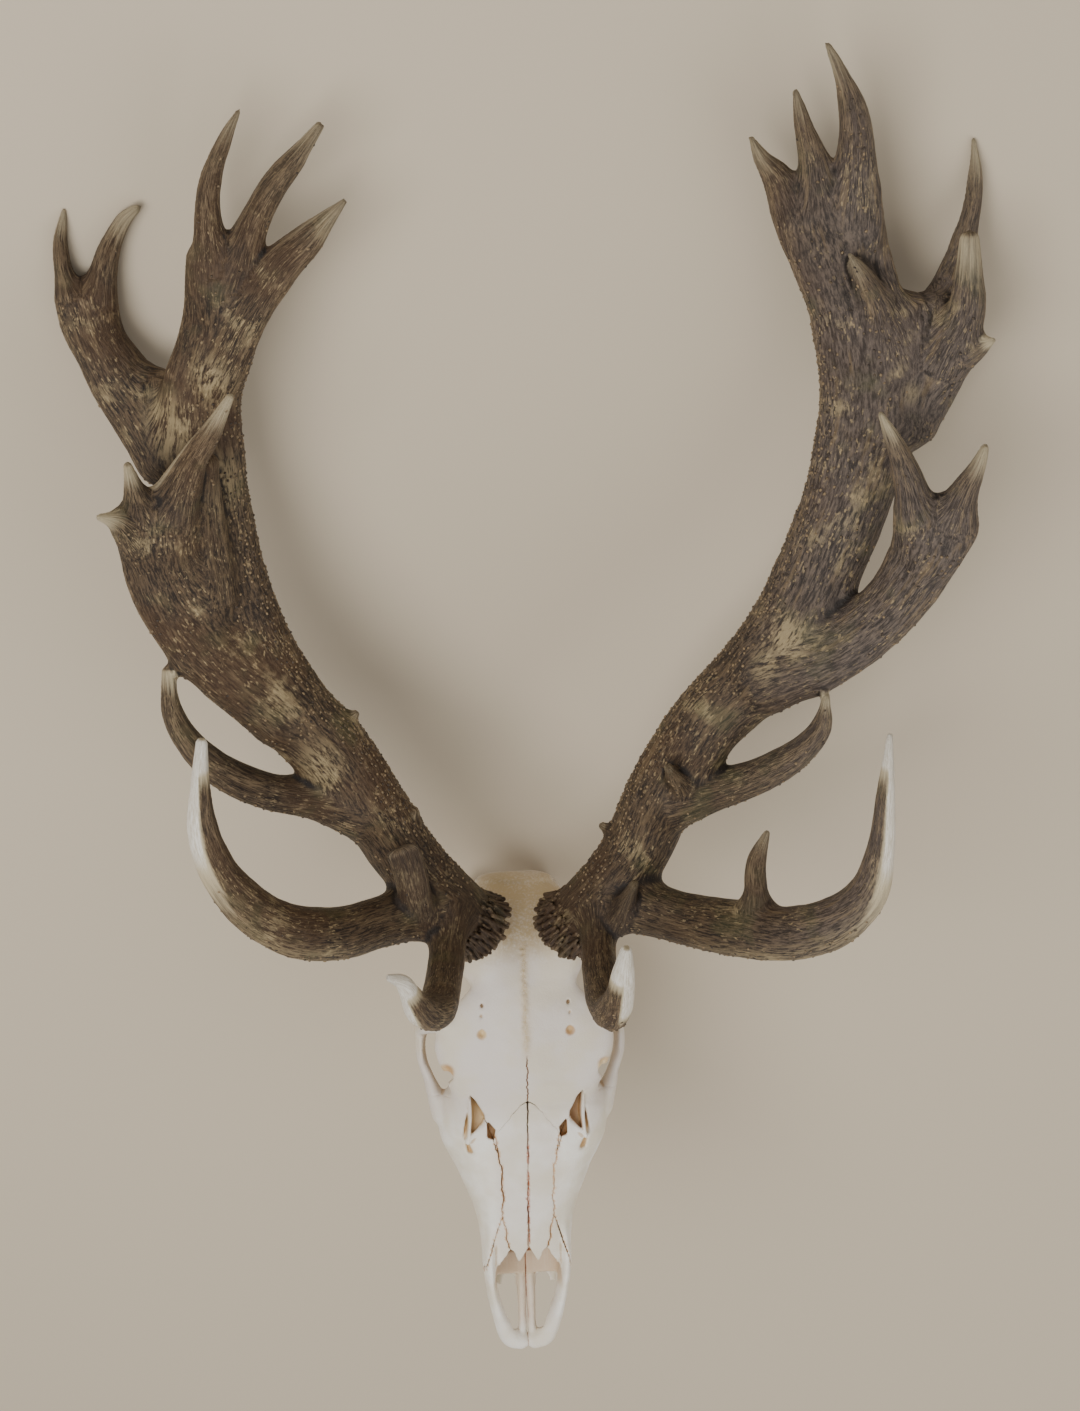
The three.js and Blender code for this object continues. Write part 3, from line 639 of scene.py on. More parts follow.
# Where along a tine the ivory starts, where it is full, and how much of it there is.
IVORY = {"brow": (0.56, 0.74, 1.25), "bez": (0.42, 0.85, 1.2), "trez": (0.84, 1.02, 0.7),
         "snagBurr": (0.9, 1, 0.3), "snagInner": (0.8, 1, 0.4), "snagFront": (0.8, 1, 0.4),
         "forkInner": (0.45, 1, 0.72), "forkOuter": (0.35, 1, 0.7), "forkRear": (0.3, 1, 0.75),
         "outerTop": (0.5, 1, 0.65), "outerFront": (0.35, 1, 0.6), "outerSpur": (0.4, 1, 0.8),
         "frontSpur": (0.55, 1, 0.5)}
IVORY_CROWN = (0.5, 1, 0.5)
TINE_SHIFT = 37.0     # added to a tine's grain, so that neighbours don't share one pattern


def grain_of(limb, points):
    """Where each vertex lies round and along a limb, and how far it is from the limb's skin."""
    run, round_it, distance = limb.locate(points)
    return np.column_stack([round_it * GRAIN_ROUND, run]), distance


def worn_share(name, side, skin, grain, along):
    """How much ivory a tine shows, from where a vertex is along it and which way it faces."""
    start, full, share = IVORY.get(name, IVORY_CROWN)
    worn = share * smooth_step(start, full, along)
    if name == "brow":
        outer = smooth_step(-0.1, 0.45, side * skin[:, 0] + 0.25 * skin[:, 2])
        worn = worn * np.maximum(outer, smooth_step(0.78, 0.92, along))
    if name == "bez":
        outer = smooth_step(-0.3, 0.35, side * skin[:, 0] - 0.3 * skin[:, 1])
        worn = worn * np.maximum(outer, smooth_step(0.86, 0.97, along))
    if name == "forkInner" and side < 0:
        worn = np.maximum(worn, 0.55 * smooth_step(0.62, 0.9, grain[:, 0] / GRAIN_ROUND))
    return worn


def grooves(grain):
    """Furrows along a limb, narrow ones over wide ones."""
    narrow = noise(grain * (1 / 5.5, 1 / 5.5, 1 / 55), 3)
    wide = noise(grain * (1 / 11, 1 / 11, 1 / 90), 5)
    return 0.6 * narrow + 0.8 * wide


def detail(limbs, points, quads, side, rubbed_spots):
    """Moves the skin along its normals and returns the attributes that the finish reads."""
    skin = normals_of(points, quads)
    beam_grain, beam_distance = grain_of(limbs["beam"], points)
    tine_grain = beam_grain.copy()
    tine_distance = np.full(len(points), FAR * 4)
    next_distance = tine_distance.copy()
    burnt, chafed, tip = np.zeros((3, len(points)))
    for number, (name, limb) in enumerate(limbs.items()):
        if name == "beam":
            continue
        grain, distance = grain_of(limb, points)
        closer = distance < tine_distance
        next_distance = np.where(closer, tine_distance, np.minimum(next_distance, distance))
        tine_distance = np.where(closer, distance, tine_distance)
        tine_grain[closer] = grain[closer] + TINE_SHIFT * number
        along, here = grain[:, 2] / limb.run[-1], smooth_step(7, 2, distance)
        if name not in PALMS:
            tip = np.maximum(tip, worn_share(name, side, skin, grain, along) * here)
        if name == "bez":
            under = smooth_step(0.25, 0.85, -skin[:, 1]) * smooth_step(0.1, 0.3, along)
            chafed = np.maximum(chafed, under * here)
        if name == "snagBurr":
            burnt = smooth_step(7, 0, distance)
    on_tine = smooth_step(-5, 5, beam_distance - tine_distance)
    whole = 1 - on_tine * smooth_step(3, 0.5, next_distance - tine_distance)
    rubbed = np.zeros(len(points))
    for x, y, z, radius in rubbed_spots:
        apart = np.linalg.norm((points - (x, y, z)) * (1, 0.8, 0.8), axis=1) / radius
        rubbed = np.maximum(rubbed, smooth_step(1.35, 0.3, apart))
    rubbed = np.maximum(rubbed * smooth_step(0.1, 0.6, skin[:, 2]), 0.7 * chafed)

    inner = smooth_step(0.25, 0.8, -side * skin[:, 0])
    foot = np.linalg.norm(points - limbs["beam"].centre[0], axis=1)
    rough = inner * (1 - on_tine) * smooth_step(40, 70, foot) * 0.9
    rough = rough + 0.3 * smooth_step(0.35, 0.9, -skin[:, 1]) * (1 - tip)

    groove = (1 - on_tine) * grooves(beam_grain) + on_tine * grooves(tine_grain)
    lumps = noise(points / 26, 7) * 0.7 + noise(points / 11, 8) * 0.35
    pearl = beads(points / 6.5, 11) * np.clip(rough, 0, 1)
    calm = 1 - 0.85 * smooth_step(0.3, 0.9, tip)
    height = (0.6 * groove * whole + lumps) * calm + 0.9 * pearl
    height = height * smooth_step(0, 12, foot - 20)
    points = points + skin * height[:, None]
    return points, {
        "grain_beam": beam_grain * MM,
        "grain_tine": tine_grain * MM,
        "on_tine": on_tine,
        "tip": tip,
        "whole": whole,
        "rubbed": rubbed,
        "rough": rough,
        # Concave or convex: drives the painted shade in hollows and the painted highlight on
        # ridges.
        "hollow": hollowness(points, quads, 6),
        "foot": np.maximum(smooth_step(125, 38, foot), 1.5 * burnt),
    }

# %% The two antlers and their burrs
def antler_object(name, antler, side, rubbed_spots):
    limbs = limbs_of(antler)
    points, quads = grow(limbs)
    points, attributes = detail(limbs, points, quads, side, rubbed_spots)
    return make_object(name, points, quads, TO_FLOOR, attributes)


def burr_object(name, antler, side, seed):
    """The burr keeps its own skin and takes only the attributes."""
    points, quads = burr_field(antler["beam"][0][:3], side, seed).surface()
    attributes = detail(limbs_of(antler), points, quads, side, [])[1]
    attributes["tip"][:] = 0
    # A stronger value here makes the painted shade in the burr's hollows and the painted highlight
    # on its flutes stronger.
    attributes["hollow"] = 0.9 * hollowness(points, quads, 10)
    attributes["foot"] *= 0.6
    return make_object(name, points, quads, TO_FLOOR, attributes)


PAIR = {"left": (LEFT_ANTLER, 1), "right": (RIGHT_ANTLER, -1)}
antlers = {word: antler_object("antler_" + word, *PAIR[word], rubbed)
           for word, rubbed in (("left", LEFT_RUBBED), ("right", RIGHT_RUBBED))}
burrs = {word: burr_object(word + "_burr", *PAIR[word], seed)
         for word, seed in (("left", 21), ("right", 22))}

# %% [markdown]
# ## The skull's masses
# The head is shaped in its own frame, midline on x = 0, and placed by one matrix. Three lofts give
# the masses: braincase, roof over the orbits, and upper jaw. Each row of a loft is a cross section
# at one y: half width, top, the level where it is widest, and bottom.

# %% Lofts and limbs of the head
BRAINCASE = [
    [32, 34, 104, 66, 32], [16, 46, 126, 72, 24], [-8, 48, 140, 80, 22],
    [-36, 43, 146, 94, 30], [-66, 36, 145, 110, 44], [-96, 31, 141, 110, 52],
    [-126, 30, 136, 104, 50], [-160, 34, 123, 84, 34],
]
BROW_SHELF = [
    [-38, 26, 141, 132, 120], [-56, 46, 144, 131, 118], [-76, 66, 144, 124, 112],
    [-98, 77, 140, 117, 108], [-116, 76, 136, 112, 104], [-130, 70, 132, 108, 98],
    [-144, 65, 127, 102, 88], [-160, 60, 121, 92, 76],
]
UPPER_JAW = [
    [-146, 66, 126, 72, 34], [-156, 73, 122, 66, 26], [-172, 75, 118, 62, 22],
    [-192, 72, 112, 58, 20], [-207, 66, 107, 54, 20], [-221, 59, 102, 51, 20],
    [-236, 53, 97, 48, 20], [-250, 47, 92, 47, 20], [-264, 43, 87, 46, 20],
    [-286, 40, 79, 45, 19], [-314, 37, 66, 40, 17],
]
CHEEK_ARCH = [
    [70, -168, 66, 9, 14], [76, -154, 66, 6, 12], [81, -138, 66, 3.4, 9], [87, -120, 67, 3, 8],
    [87, -100, 70, 3.6, 8], [81, -74, 66, 3.6, 7], [68, -46, 62, 4.5, 7], [50, -20, 61, 6, 7],
    [34, 2, 60, 7, 7],
]
ORBIT_POST = [[66, -84, 128, 10, 7], [80, -89, 108, 5, 5], [86, -92, 88, 4, 5], [87, -93, 70, 4, 6]]
PAROCCIPITAL = [[34, 16, 44, 9, 8], [37, 22, 20, 7, 8], [35, 25, -2, 4, 6]]
PTERYGOID = [[14, -62, 40, 3, 12], [15, -100, 42, 3, 20], [18, -148, 34, 4, 18]]
PREMAXILLA = [
    [30, -268, 66, 5, 10], [33, -290, 54, 5.5, 22], [33.5, -308, 46, 5.5, 22],
    [32, -328, 41, 5, 16], [28.5, -346, 34, 5.4, 13], [23, -364, 27, 7, 10],
    [15, -379, 22, 9, 8], [6, -383, 20, 8, 7],
]
PALATE_BAR = [
    [4.3, -284, 24, 3.7, 5], [4.3, -340, 22, 3.6, 5], [4.6, -372, 20, 3.6, 5], [6, -382, 19, 4, 5],
]
PALATE_FRONT = [[0, -296, 22, 30, 3.5], [0, -330, 21, 27, 3]]
NOSE_OPENING = [
    [-296, 19, 100, 60, 34], [-306, 25, 100, 56, 33], [-321, 26.5, 96, 52, 32],
    [-340, 24.5, 90, 48, 28], [-359, 19.5, 80, 44, 26], [-374, 12, 70, 40, 24],
]
NOSE_CAVITY = [
    [-190, 10, 96, 66, 50], [-230, 20, 84, 58, 36], [-262, 27, 78, 54, 30], [-290, 30, 72, 52, 29],
    [-330, 32, 66, 50, 29],
]
PALATE_HOLLOW = [
    [-140, 22, 27, 15, 0], [-190, 21, 26, 14, 0], [-262, 17, 25, 12, 0], [-300, 14, 22, 10, 0],
]
CHOANA = [[-60, 12, 44, 30, 12], [-110, 13, 52, 34, 12], [-140, 14, 48, 34, 14]]
SKULL_VOXEL = 1.25


def loft(field, rows, roundness=2.4, cap=10.0):
    """Distances to a stack of superellipse sections along y."""
    rows = catmull(np.array(rows, float), 6)
    rows = rows[np.argsort(rows[:, 0])]
    value = field.empty()
    half, top, bottom = rows[:, 1].max(), rows[:, 2].max(), rows[:, 4].min()
    slices, (x, y, z) = field.window(
        (-half - FAR, rows[0, 0] - FAR, bottom - FAR), (half + FAR, rows[-1, 0] + FAR, top + FAR)
    )
    here = np.clip(y, rows[0, 0], rows[-1, 0])
    half, top, level, bottom = (
        np.interp(here, rows[:, 0], rows[:, k]).astype(np.float32) for k in range(1, 5)
    )
    height = np.where(z > level, top - level, level - bottom)
    parts = [np.abs(x) / half, np.abs(z - level) / height, np.abs(y - here) / cap]
    total = sum(p**roundness for p in parts)
    q = np.maximum(total, 1e-6) ** (1 / roundness)
    slope = np.sqrt(sum(
        (p ** (roundness - 1) / size) ** 2 for p, size in zip(parts, (half, height, cap))
    )) * q ** (1 - roundness)
    distance = (q - 1) / np.maximum(slope, 1e-3)
    value[slices] = np.clip(distance, -3 * FAR, FAR)
    return value


def ball(field, centre, radii):
    """Distances to an ellipsoid with its axes along x, y and z."""
    value = field.empty()
    centre, radii = np.array(centre, float), np.array(radii, float)
    slices, axes = field.window(centre - radii - FAR, centre + radii + FAR)
    q = [(a - c) / r for a, c, r in zip(axes, centre, radii)]
    value[slices] = to_ellipsoid(q, radii)[1]
    return value


def pair_of(stations, **shape):
    """The same limb on the left and on the right."""
    for side in (1, -1):
        yield Limb([[side * row[0], *row[1:]] for row in stations], **shape)


def add_pair(stations, web, **shape):
    for limb in pair_of(stations, **shape):
        limb.add_to(head, web)


def carve_pair(stations, web):
    for limb in pair_of(stations, steps=5):
        limb.cut_from(head, web)

# %% [markdown]
# ## Openings of the face
# A stag's skull is recognised by its holes: the round orbits behind a thin cheek arch, the gap
# between frontal, lacrimal, nasal and maxilla in front of each eye, the foramina over the eyes, and
# the long nose opening with two slits in the palate. Each is cut from the masses in turn, and the
# thin bars that cross them are put back afterwards.

# %% Build the head
head = Field((-98, -396, -6), (98, 48, 152), SKULL_VOXEL)
head.value = loft(head, BRAINCASE, 2.3, 9)
head.join(loft(head, BROW_SHELF, 2.5, 10), 12)
jaw_mass = loft(head, UPPER_JAW, 2.3, 8)
head.join(jaw_mass, 8)

# The ear bones, the condyles beside the neck's opening, and the stumps that bear the antlers.
for antler, side in PAIR.values():
    head.join(ball(head, (side * 27, -8, 22), (11, 15, 14)), 6)
    head.join(ball(head, (side * 16, 26, 36), (12, 12, 17)), 5)
    top = np.array(HEAD_TO_PAIR.inverted() @ Vector(antler["beam"][0][:3]))
    stump = [[*(top + (-side * 14, -32, -40)), 27, 27],
             [*(top + (-side * 6, -10, -17)), 21, 21],
             [*(top + (side, 0, 0)), 20, 20]]
    Limb(stump, caps=(None, 3)).add_to(head, 12)
for stations, web in ((CHEEK_ARCH, 6), (PAROCCIPITAL, 8), (PTERYGOID, 5)):
    add_pair(stations, web)

# The orbits, the hollows behind them, and the room for the jaw's muscles.
for side in (1, -1):
    head.carve(ball(head, (side * 66, -110, 88), (40, 25, 25)), 4)
    head.carve(ball(head, (side * 62, -66, 92), (30, 34, 34)), 8)
    head.carve(ball(head, (side * 56, -128, 40), (30, 26, 40)), 6)
add_pair(CHEEK_ARCH, 6)
add_pair(ORBIT_POST, 5, facing=(0, 1, 0))

# The nose, the hollow of the palate, the passage behind it, and the hole for the spine.
head.carve(loft(head, NOSE_CAVITY, 2.2, 14), 2)
head.carve(loft(head, PALATE_HOLLOW, 2.2, 8), 4)
head.carve(loft(head, CHOANA, 2.2, 8), 3)
head.carve(ball(head, (0, 44, 54), (14, 26, 13)), 3)
add_pair(PREMAXILLA, 3)

# The two slits of the palate, rounded behind, and the paired bars between them.
Limb(PALATE_FRONT, steps=3, caps=(3, 3)).add_to(head, 2)
carve_pair([[15, -328, 12, 7.5, 20], [16.5, -345, 12, 8, 20], [12, -368, 12, 5, 20]], 1)
add_pair(PALATE_BAR, 2)

# %% Pits, small holes and thin bars
def carve_prism(corners, low, web):
    """Cuts a pit whose outline, seen from above, is a convex polygon, on both sides."""
    slices, (x, y, z) = head.window((-98, -220, low - FAR), (98, -130, 152))
    value = head.empty()
    pit = low - z
    for (ax, ay), (bx, by) in zip(corners, corners[1:] + corners[:1]):
        length = math.hypot(bx - ax, by - ay)
        pit = np.maximum(pit, ((y - ay) * (bx - ax) - (np.abs(x) - ax) * (by - ay)) / length)
    value[slices] = np.minimum(pit, FAR)
    head.carve(value, web)


# The gap in front of each orbit, and the small opening beside the nasal bone.
carve_prism([(49, -148), (55.5, -188), (50, -191), (37, -175), (37, -166), (44, -153)], 97, 1.5)
carve_prism([(34.5, -172), (35, -187), (29, -189), (27.5, -180)], 98, 1.2)
HOLES = [
    ([[51, -196, 108, 2.6, 14], [48.5, -204, 104, 3.8, 14]], 1),        # in front of the gap
    ([[71, -128, 150, 4, 6], [70, -127, 122, 4, 6]], 2),                # notch in the orbit's rim
    ([[38, -94, 147, 3.8, 5], [38, -93, 139.5, 3, 4]], 1.6),            # large hole over the eye
    ([[37, -70, 149, 1.8, 2], [37, -69, 139, 1.6, 2]], 1),              # the two small ones behind
    ([[38, -79, 149, 1.3, 2], [38, -78, 141, 1.2, 2]], 1),
    ([[77, -136, 130, 3, 6], [70, -133, 116, 5, 8], [66, -130, 98, 6, 10]], 2),     # tear duct
    ([[36, -66, 150, 1.6, 3], [37, -80, 147.5, 2, 3], [38, -92, 145, 2.8, 3]], 3),  # their groove
]
for stations, web in HOLES:
    carve_pair(stations, web)
add_pair([[52, -190, 103, 2, 3], [44, -182, 104, 1.6, 3], [36, -172, 107, 1.6, 3]], 3)
add_pair([[49.5, -150, 110, 1.2, 10], [49, -170, 102, 2, 9], [51, -190, 98, 1.6, 9]], 2)

# %% Teeth
# Six cheek teeth a side, each with two rounded lobes and a worn, sloping top.
TOOTH_LENGTHS = (14, 15.5, 16, 19.5, 22, 22.5)
FIRST_TOOTH_Y = -268
for side in (1, -1):
    for index, length in enumerate(TOOTH_LENGTHS):
        middle = FIRST_TOOTH_Y + sum(TOOTH_LENGTHS[:index]) + length / 2
        x, width = side * (27 + 2.1 * index), 12 + 1.6 * index
        for lobe in (-1, 1) if index > 2 else (-0.8, 0.8):
            y = middle + lobe * length * 0.26
            crown = [[x, y, 30, width * 0.46, length * 0.26],
                     [x - side, y, 14, width * 0.5, length * 0.27],
                     [x - 2 * side, y, 6, width * 0.42, length * 0.25]]
            Limb(crown, steps=3, facing=(0, 1, 0), caps=(None, 2)).add_to(head, 1.5)
            groove = [[x, y + end * length * 0.16, 3.5, 1.4, 1] for end in (-1, 1)]
            Limb(groove, steps=2).cut_from(head, 1.5)
print("head field:", head.value.shape)

# %% [markdown]
# ## Parting the head along its sutures
# A stag's skull is many bones. The braincase and upper jaw stay one piece each here, the nasals and
# premaxillae two each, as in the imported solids. Each bone is the head's field cut by a mask whose
# border wanders like a real suture, and a gap of a few tenths of a millimetre is left between them.

# %% Masks for the bones
GAP = 0.24                # between two bones, where their suture is open
OVERLAP = 0.45            # how far each bone reaches past its border, where it is closed
CENTRE_GAP = 0.17         # added on each side of the seam between the nasal bones
GAP_FROM, GAP_TO = -194, -180     # the sutures are open before the first y, closed behind the next
NASAL_HALF = [
    (-310, 9), (-304, 11), (-298, 17.5), (-286, 18), (-271, 19.5), (-262, 23.5), (-243, 21.5),
    (-220, 22.5), (-206, 25), (-192, 27), (-186, 28), (-178, 22), (-166, 14), (-157, 5), (-154, -2),
    (-150, -8),
]
FACE_LINE = [(0, -200), (27, -200), (29.5, -189), (33, -180), (38, -166), (46, -152),
             (54, -147), (62, -141), (72, -134), (100, -132)]


def wander(values, size, length, seed):
    """A suture's wandering, a smooth offset that varies along one coordinate."""
    def wave(step, seed):
        places = np.zeros((values.size, 3))
        places[:, 0] = values.ravel() / step
        return noise(places, seed)

    both = wave(length, seed) + 0.6 * wave(length * 0.3, seed + 1)
    return size * both.reshape(values.shape)


slices, axes = head.window(head.low, head.low + (head.shape - 1) * head.voxel)
x, y, z = (np.broadcast_to(a, head.shape) for a in axes)
along, across = y[:1, :, :1].ravel(), x[:, :1, :1].ravel()
opening = np.interp(along, (GAP_FROM, GAP_TO), (GAP / 2, -OVERLAP))[None, :, None]

# The nasal bones: half as wide as their table says, a few millimetres thick, four points in front.
half = np.interp(along, *zip(*NASAL_HALF)) + wander(along, 0.9, 9, 31)
wavy = wander(along, 0.7, 7, 35)[None, :, None]
deep = np.interp(along, (-300, -240, -160), (5, 6.5, 9))
roof_rows = sorted(UPPER_JAW + BRAINCASE[5:8])
ceiling = np.interp(along, *zip(*[(row[0], row[2]) for row in roof_rows]))
points_y = np.abs(np.abs(x) - 8.5) * 1.7 - 304 + 3 * np.exp(-((np.abs(x) - 13) / 1.6) ** 2)
over_nose = (ceiling - deep)[None, :, None] - z
nasal_zone = np.maximum(np.abs(x) - half[None, :, None], over_nose)
nasal_zone = np.maximum(nasal_zone, points_y - y)

# The bars beside the nose, in front of a slanting seam.
seam_slope = -271 - (np.abs(x) - 26) * 3.2 + wander(z, 1.2, 9, 37)
nose_zone = (y - np.where(z > 30, np.minimum(seam_slope, -262), -300)) * 0.5
nose_zone = np.maximum(nose_zone, -nasal_zone)

# Braincase behind and upper jaw in front of the line across the face.
line = np.interp(np.abs(across), *zip(*FACE_LINE)) + wander(across, 1.0, 8, 39)
face_line = np.where(z > 96, line[:, None, None], -152)
skull_zone = np.maximum((face_line - y) * 0.7, -nasal_zone)
jaw_zone = np.maximum(np.maximum((y - face_line) * 0.7, -nasal_zone), -nose_zone)
nose_hole = loft(head, NOSE_OPENING, 2.3, 8)
nose_zone = np.maximum(nose_zone, -nose_hole)
jaw_zone = np.maximum(jaw_zone, -nose_hole)
print("half widths of the nasal bones, mm:", round(half.min(), 1), "to", round(half.max(), 1))

# %% Bones from masks
def largest_body(points, quads):
    """Keeps the body with the most faces."""
    label = np.arange(len(points))
    while True:
        lowest = label[quads].min(axis=1)
        before = label.copy()
        for k in range(4):
            np.minimum.at(label, quads[:, k], lowest)
        label = label[label]
        if (label == before).all():
            break
    names, counts = np.unique(label[quads[:, 0]], return_counts=True)
    keep = label[quads[:, 0]] == names[counts.argmax()]
    used = np.unique(quads[keep])
    renumber = np.full(len(points), -1)
    renumber[used] = np.arange(len(used))
    return points[used], renumber[quads[keep]]


def bone(zone):
    """What a mask leaves of the head."""
    return largest_body(*head.holding(np.maximum(head.value, zone + opening)).surface())


def sample(values, points):
    """The value stored at the corner of the head's grid nearest each point."""
    index = np.round((points - head.low) / head.voxel).astype(int)
    index = np.clip(index, 0, head.shape - 1)
    return values[index[:, 0], index[:, 1], index[:, 2]]

# %% Finish each bone
nose_room = loft(head, NOSE_CAVITY, 2.2, 14)
deep_rooms = head.empty()
for side in (1, -1):
    orbit, gap = (side * 62, -112, 92), (side * 42, -172, 92)
    for centre, radii in ((orbit, (34, 23, 23)), (gap, (15, 28, 26))):
        deep_rooms = np.minimum(deep_rooms, ball(head, centre, radii))


def stains(px, py, pz, points):
    """Brown in the orbit's notch, in the hole over each eye, and on the walls of the gap."""
    notch = smooth_step(9, 5, np.hypot(np.abs(px) - 69, py + 127)) * smooth_step(136, 128, pz)
    hole = smooth_step(5, 3.6, np.hypot(np.abs(px) - 38, py + 94)) * smooth_step(145, 143.5, pz)
    gap = smooth_step(62, 59, np.abs(px)) * smooth_step(2, 0, np.abs(py + 176) - 31) * (pz > 88)
    gap = gap * smooth_step(-1.6, -3.2, sample(jaw_mass, points))
    return np.maximum(np.maximum(notch, hole * (pz > 132)), gap)


def weathered(points, quads):
    """Small lumps, the rough ridge down the forehead and the pits of the braincase, with the marks
    for the tan inside the nose, partly painted shade, and for the painted shade on the palate bars
    and in hollows.
    """
    skin = normals_of(points, quads)
    px, py, pz = points.T
    outside = smooth_step(0.15, 0.6, skin[:, 2])
    inside = smooth_step(0.5, -0.1, skin[:, 2])
    lumps = 0.45 * noise(points / 24, 41) + 0.22 * noise(points / 7, 42)
    middle = np.exp(-((px + 0.5 + 0.8 * noise(points / 9, 43)) / 3.4) ** 2)
    ridge = middle * outside * smooth_step(-10, -24, py) * smooth_step(-124, -100, py)
    grain = ridge * (0.8 + 0.9 * noise(points / 2.6, 44))
    dome = smooth_step(-46, -8, py) * smooth_step(60, 90, pz)
    pits = np.minimum(noise(points / 2.6, 45) + 0.1, 0) * 0.45 * dome
    # Tan inside the nose cavity: partly the cavity's own colour, partly painted shade.
    nose = smooth_step(2.2, 0.2, sample(nose_room, points)) * smooth_step(-334, -318, py)
    # Painted shade on the palate bars under the nose opening.
    bars = 0.5 * smooth_step(10, 8, np.abs(px)) * smooth_step(-374, -360, py)
    bars = bars * (pz < 34) * (py < -280)
    deep_room = smooth_step(2.0, -1.5, sample(deep_rooms, points)) * inside
    height = lumps + grain + pits
    return points + skin * height[:, None], {
        "place": points,
        "dome": dome,
        "ridge": ridge,
        # Concave places: drives the painted shade in the bone's hollows.
        "hollow": hollowness(points, quads, 8),
        # The nose's tan, partly painted shade, and the painted shade on the palate bars.
        "nose_room": np.maximum(nose, bars),
        "deep_room": np.maximum(stains(px, py, pz, points), deep_room),
    }


BRAINCASE_SHARE = 0.78    # keeps that piece under 200,000 triangles
bones = {}


def bone_object(name, zone):
    """One bone, with the places beside its sutures marked."""
    points, quads = bone(zone)
    beside = smooth_step(1.0, 0.25, np.abs(sample(zone + opening, points)))
    beside = beside * (sample(nose_hole, points) > 2)
    points, attributes = weathered(points, quads)
    attributes["seam"] = beside * smooth_step(-180, -190, attributes["place"][:, 1])
    bones[name] = make_object(name, points, quads, HEAD_TO_FLOOR, attributes)


def thinned(made, share):
    """Merges faces where the surface is nearly flat, down to a share of what there was."""
    modifier = made.modifiers.new("thinning", "DECIMATE")
    modifier.ratio = share
    mesh = evaluated_mesh(made)
    made.modifiers.clear()
    made.data = mesh
    print(made.name, "thinned to", len(mesh.polygons), "faces")


bone_object("braincase", skull_zone)
thinned(bones["braincase"], BRAINCASE_SHARE)
bone_object("cheeks_and_jaw", jaw_zone)
for word, (antler, side) in PAIR.items():
    middle = -side * x + side * wavy + (GAP / 2 - opening) + CENTRE_GAP
    bone_object(word + "_nasal_bone", np.maximum(nasal_zone, middle))
    bone_object(word + "_nose_bar", np.maximum(nose_zone, -side * x))

# %% [markdown]
# ## Materials
# Antler is dark where blood and bark stained it and pale where it was rubbed, so its colour follows
# the grooves: dark in hollows, partly stain and partly painted shade; tan on ridges, partly wear
# and partly a painted highlight; ivory on the worn tips. Bone is nearly white, warm and pitted over
# the braincase, orange-brown inside its cavities. Painted shade tints its hollows tan and darkens
# its midline and the rear of the skull. Inside the nose the tan is partly the cavity's own colour
# and partly painted shade, and on the palate bars below it painted shade. Everything is driven by
# the attributes that were stored on the meshes, so the pattern is part of the object.

# %% A small helper for nodes
class Shader:
    """A new material and its nodes. Inputs given as sockets are wired, and others are set."""

    def __init__(self, name):
        self.material = bpy.data.materials.new(name)
        self.material.use_nodes = True
        self.nodes = self.material.node_tree.nodes
        self.links = self.material.node_tree.links
        self.surface = self.nodes["Principled BSDF"]

    def put(self, socket, value):
        if isinstance(value, bpy.types.NodeSocket):
            self.links.new(value, socket)
        else:
            socket.default_value = value

    def add(self, kind, inputs=(), output=0, **settings):
        node = self.nodes.new("ShaderNode" + kind)
        for key, value in settings.items():
            setattr(node, key, value)
        for key, value in dict(inputs).items():
            self.put(node.inputs[key], value)
        return node.outputs[output]

    def attribute(self, name, output="Fac"):
        return self.add("Attribute", output=output, attribute_name=name)

    def maths(self, operation, *values):
        return self.add("Math", enumerate(values), operation=operation)

    def times(self, a, b):
        return self.maths("MULTIPLY", a, b)

    def plus(self, a, b):
        return self.maths("ADD", a, b)

    def stretch(self, vector, scale):
        return self.add("VectorMath", {0: vector, 1: scale}, operation="MULTIPLY")

    def noise(self, vector, scale, detail=3.0, roughness=0.55):
        inputs = {"Vector": vector, "Scale": scale, "Detail": detail, "Roughness": roughness}
        return self.add("TexNoise", inputs)

    def ramp(self, value, low, high):
        """0 at low or beyond, 1 at high or beyond, and smooth between."""
        inputs = {"Value": value, "From Min": low, "From Max": high}
        return self.add("MapRange", inputs, interpolation_type="SMOOTHSTEP")

    def blend(self, share, a, b):
        """The colour a where the share is 0, and b where it is 1."""
        return self.add("Mix", {0: share, 6: a, 7: b}, output=2, data_type="RGBA")

    def mix_values(self, share, a, b):
        return self.add("Mix", {0: share, 2: a, 3: b}, data_type="FLOAT")

    def finish(self, colour, roughness, height, depth):
        """Wires the surface, with a bump that is so many metres deep."""
        bump = self.add("Bump", {"Height": height, "Distance": depth, "Strength": 1.0})
        given = {"Base Color": colour, "Roughness": roughness, "Normal": bump}
        for key, value in given.items():
            self.put(self.surface.inputs[key], value)
        return self.material


def paint(red, green, blue):
    """A colour given as on a screen, from 0 to 255, as Blender wants it."""
    flat = [((v / 255 + 0.055) / 1.055) ** 2.4 for v in (red, green, blue)]
    return (*flat, 1.0)

# %% Antler
s = Shader("antler_grain")
beam, tine = s.attribute("grain_beam", "Vector"), s.attribute("grain_tine", "Vector")
on_tine, hollow, tip = s.attribute("on_tine"), s.attribute("hollow"), s.attribute("tip")
whole, rubbed, foot = s.attribute("whole"), s.attribute("rubbed"), s.attribute("foot")
where = s.add("TexCoord", output="Object")


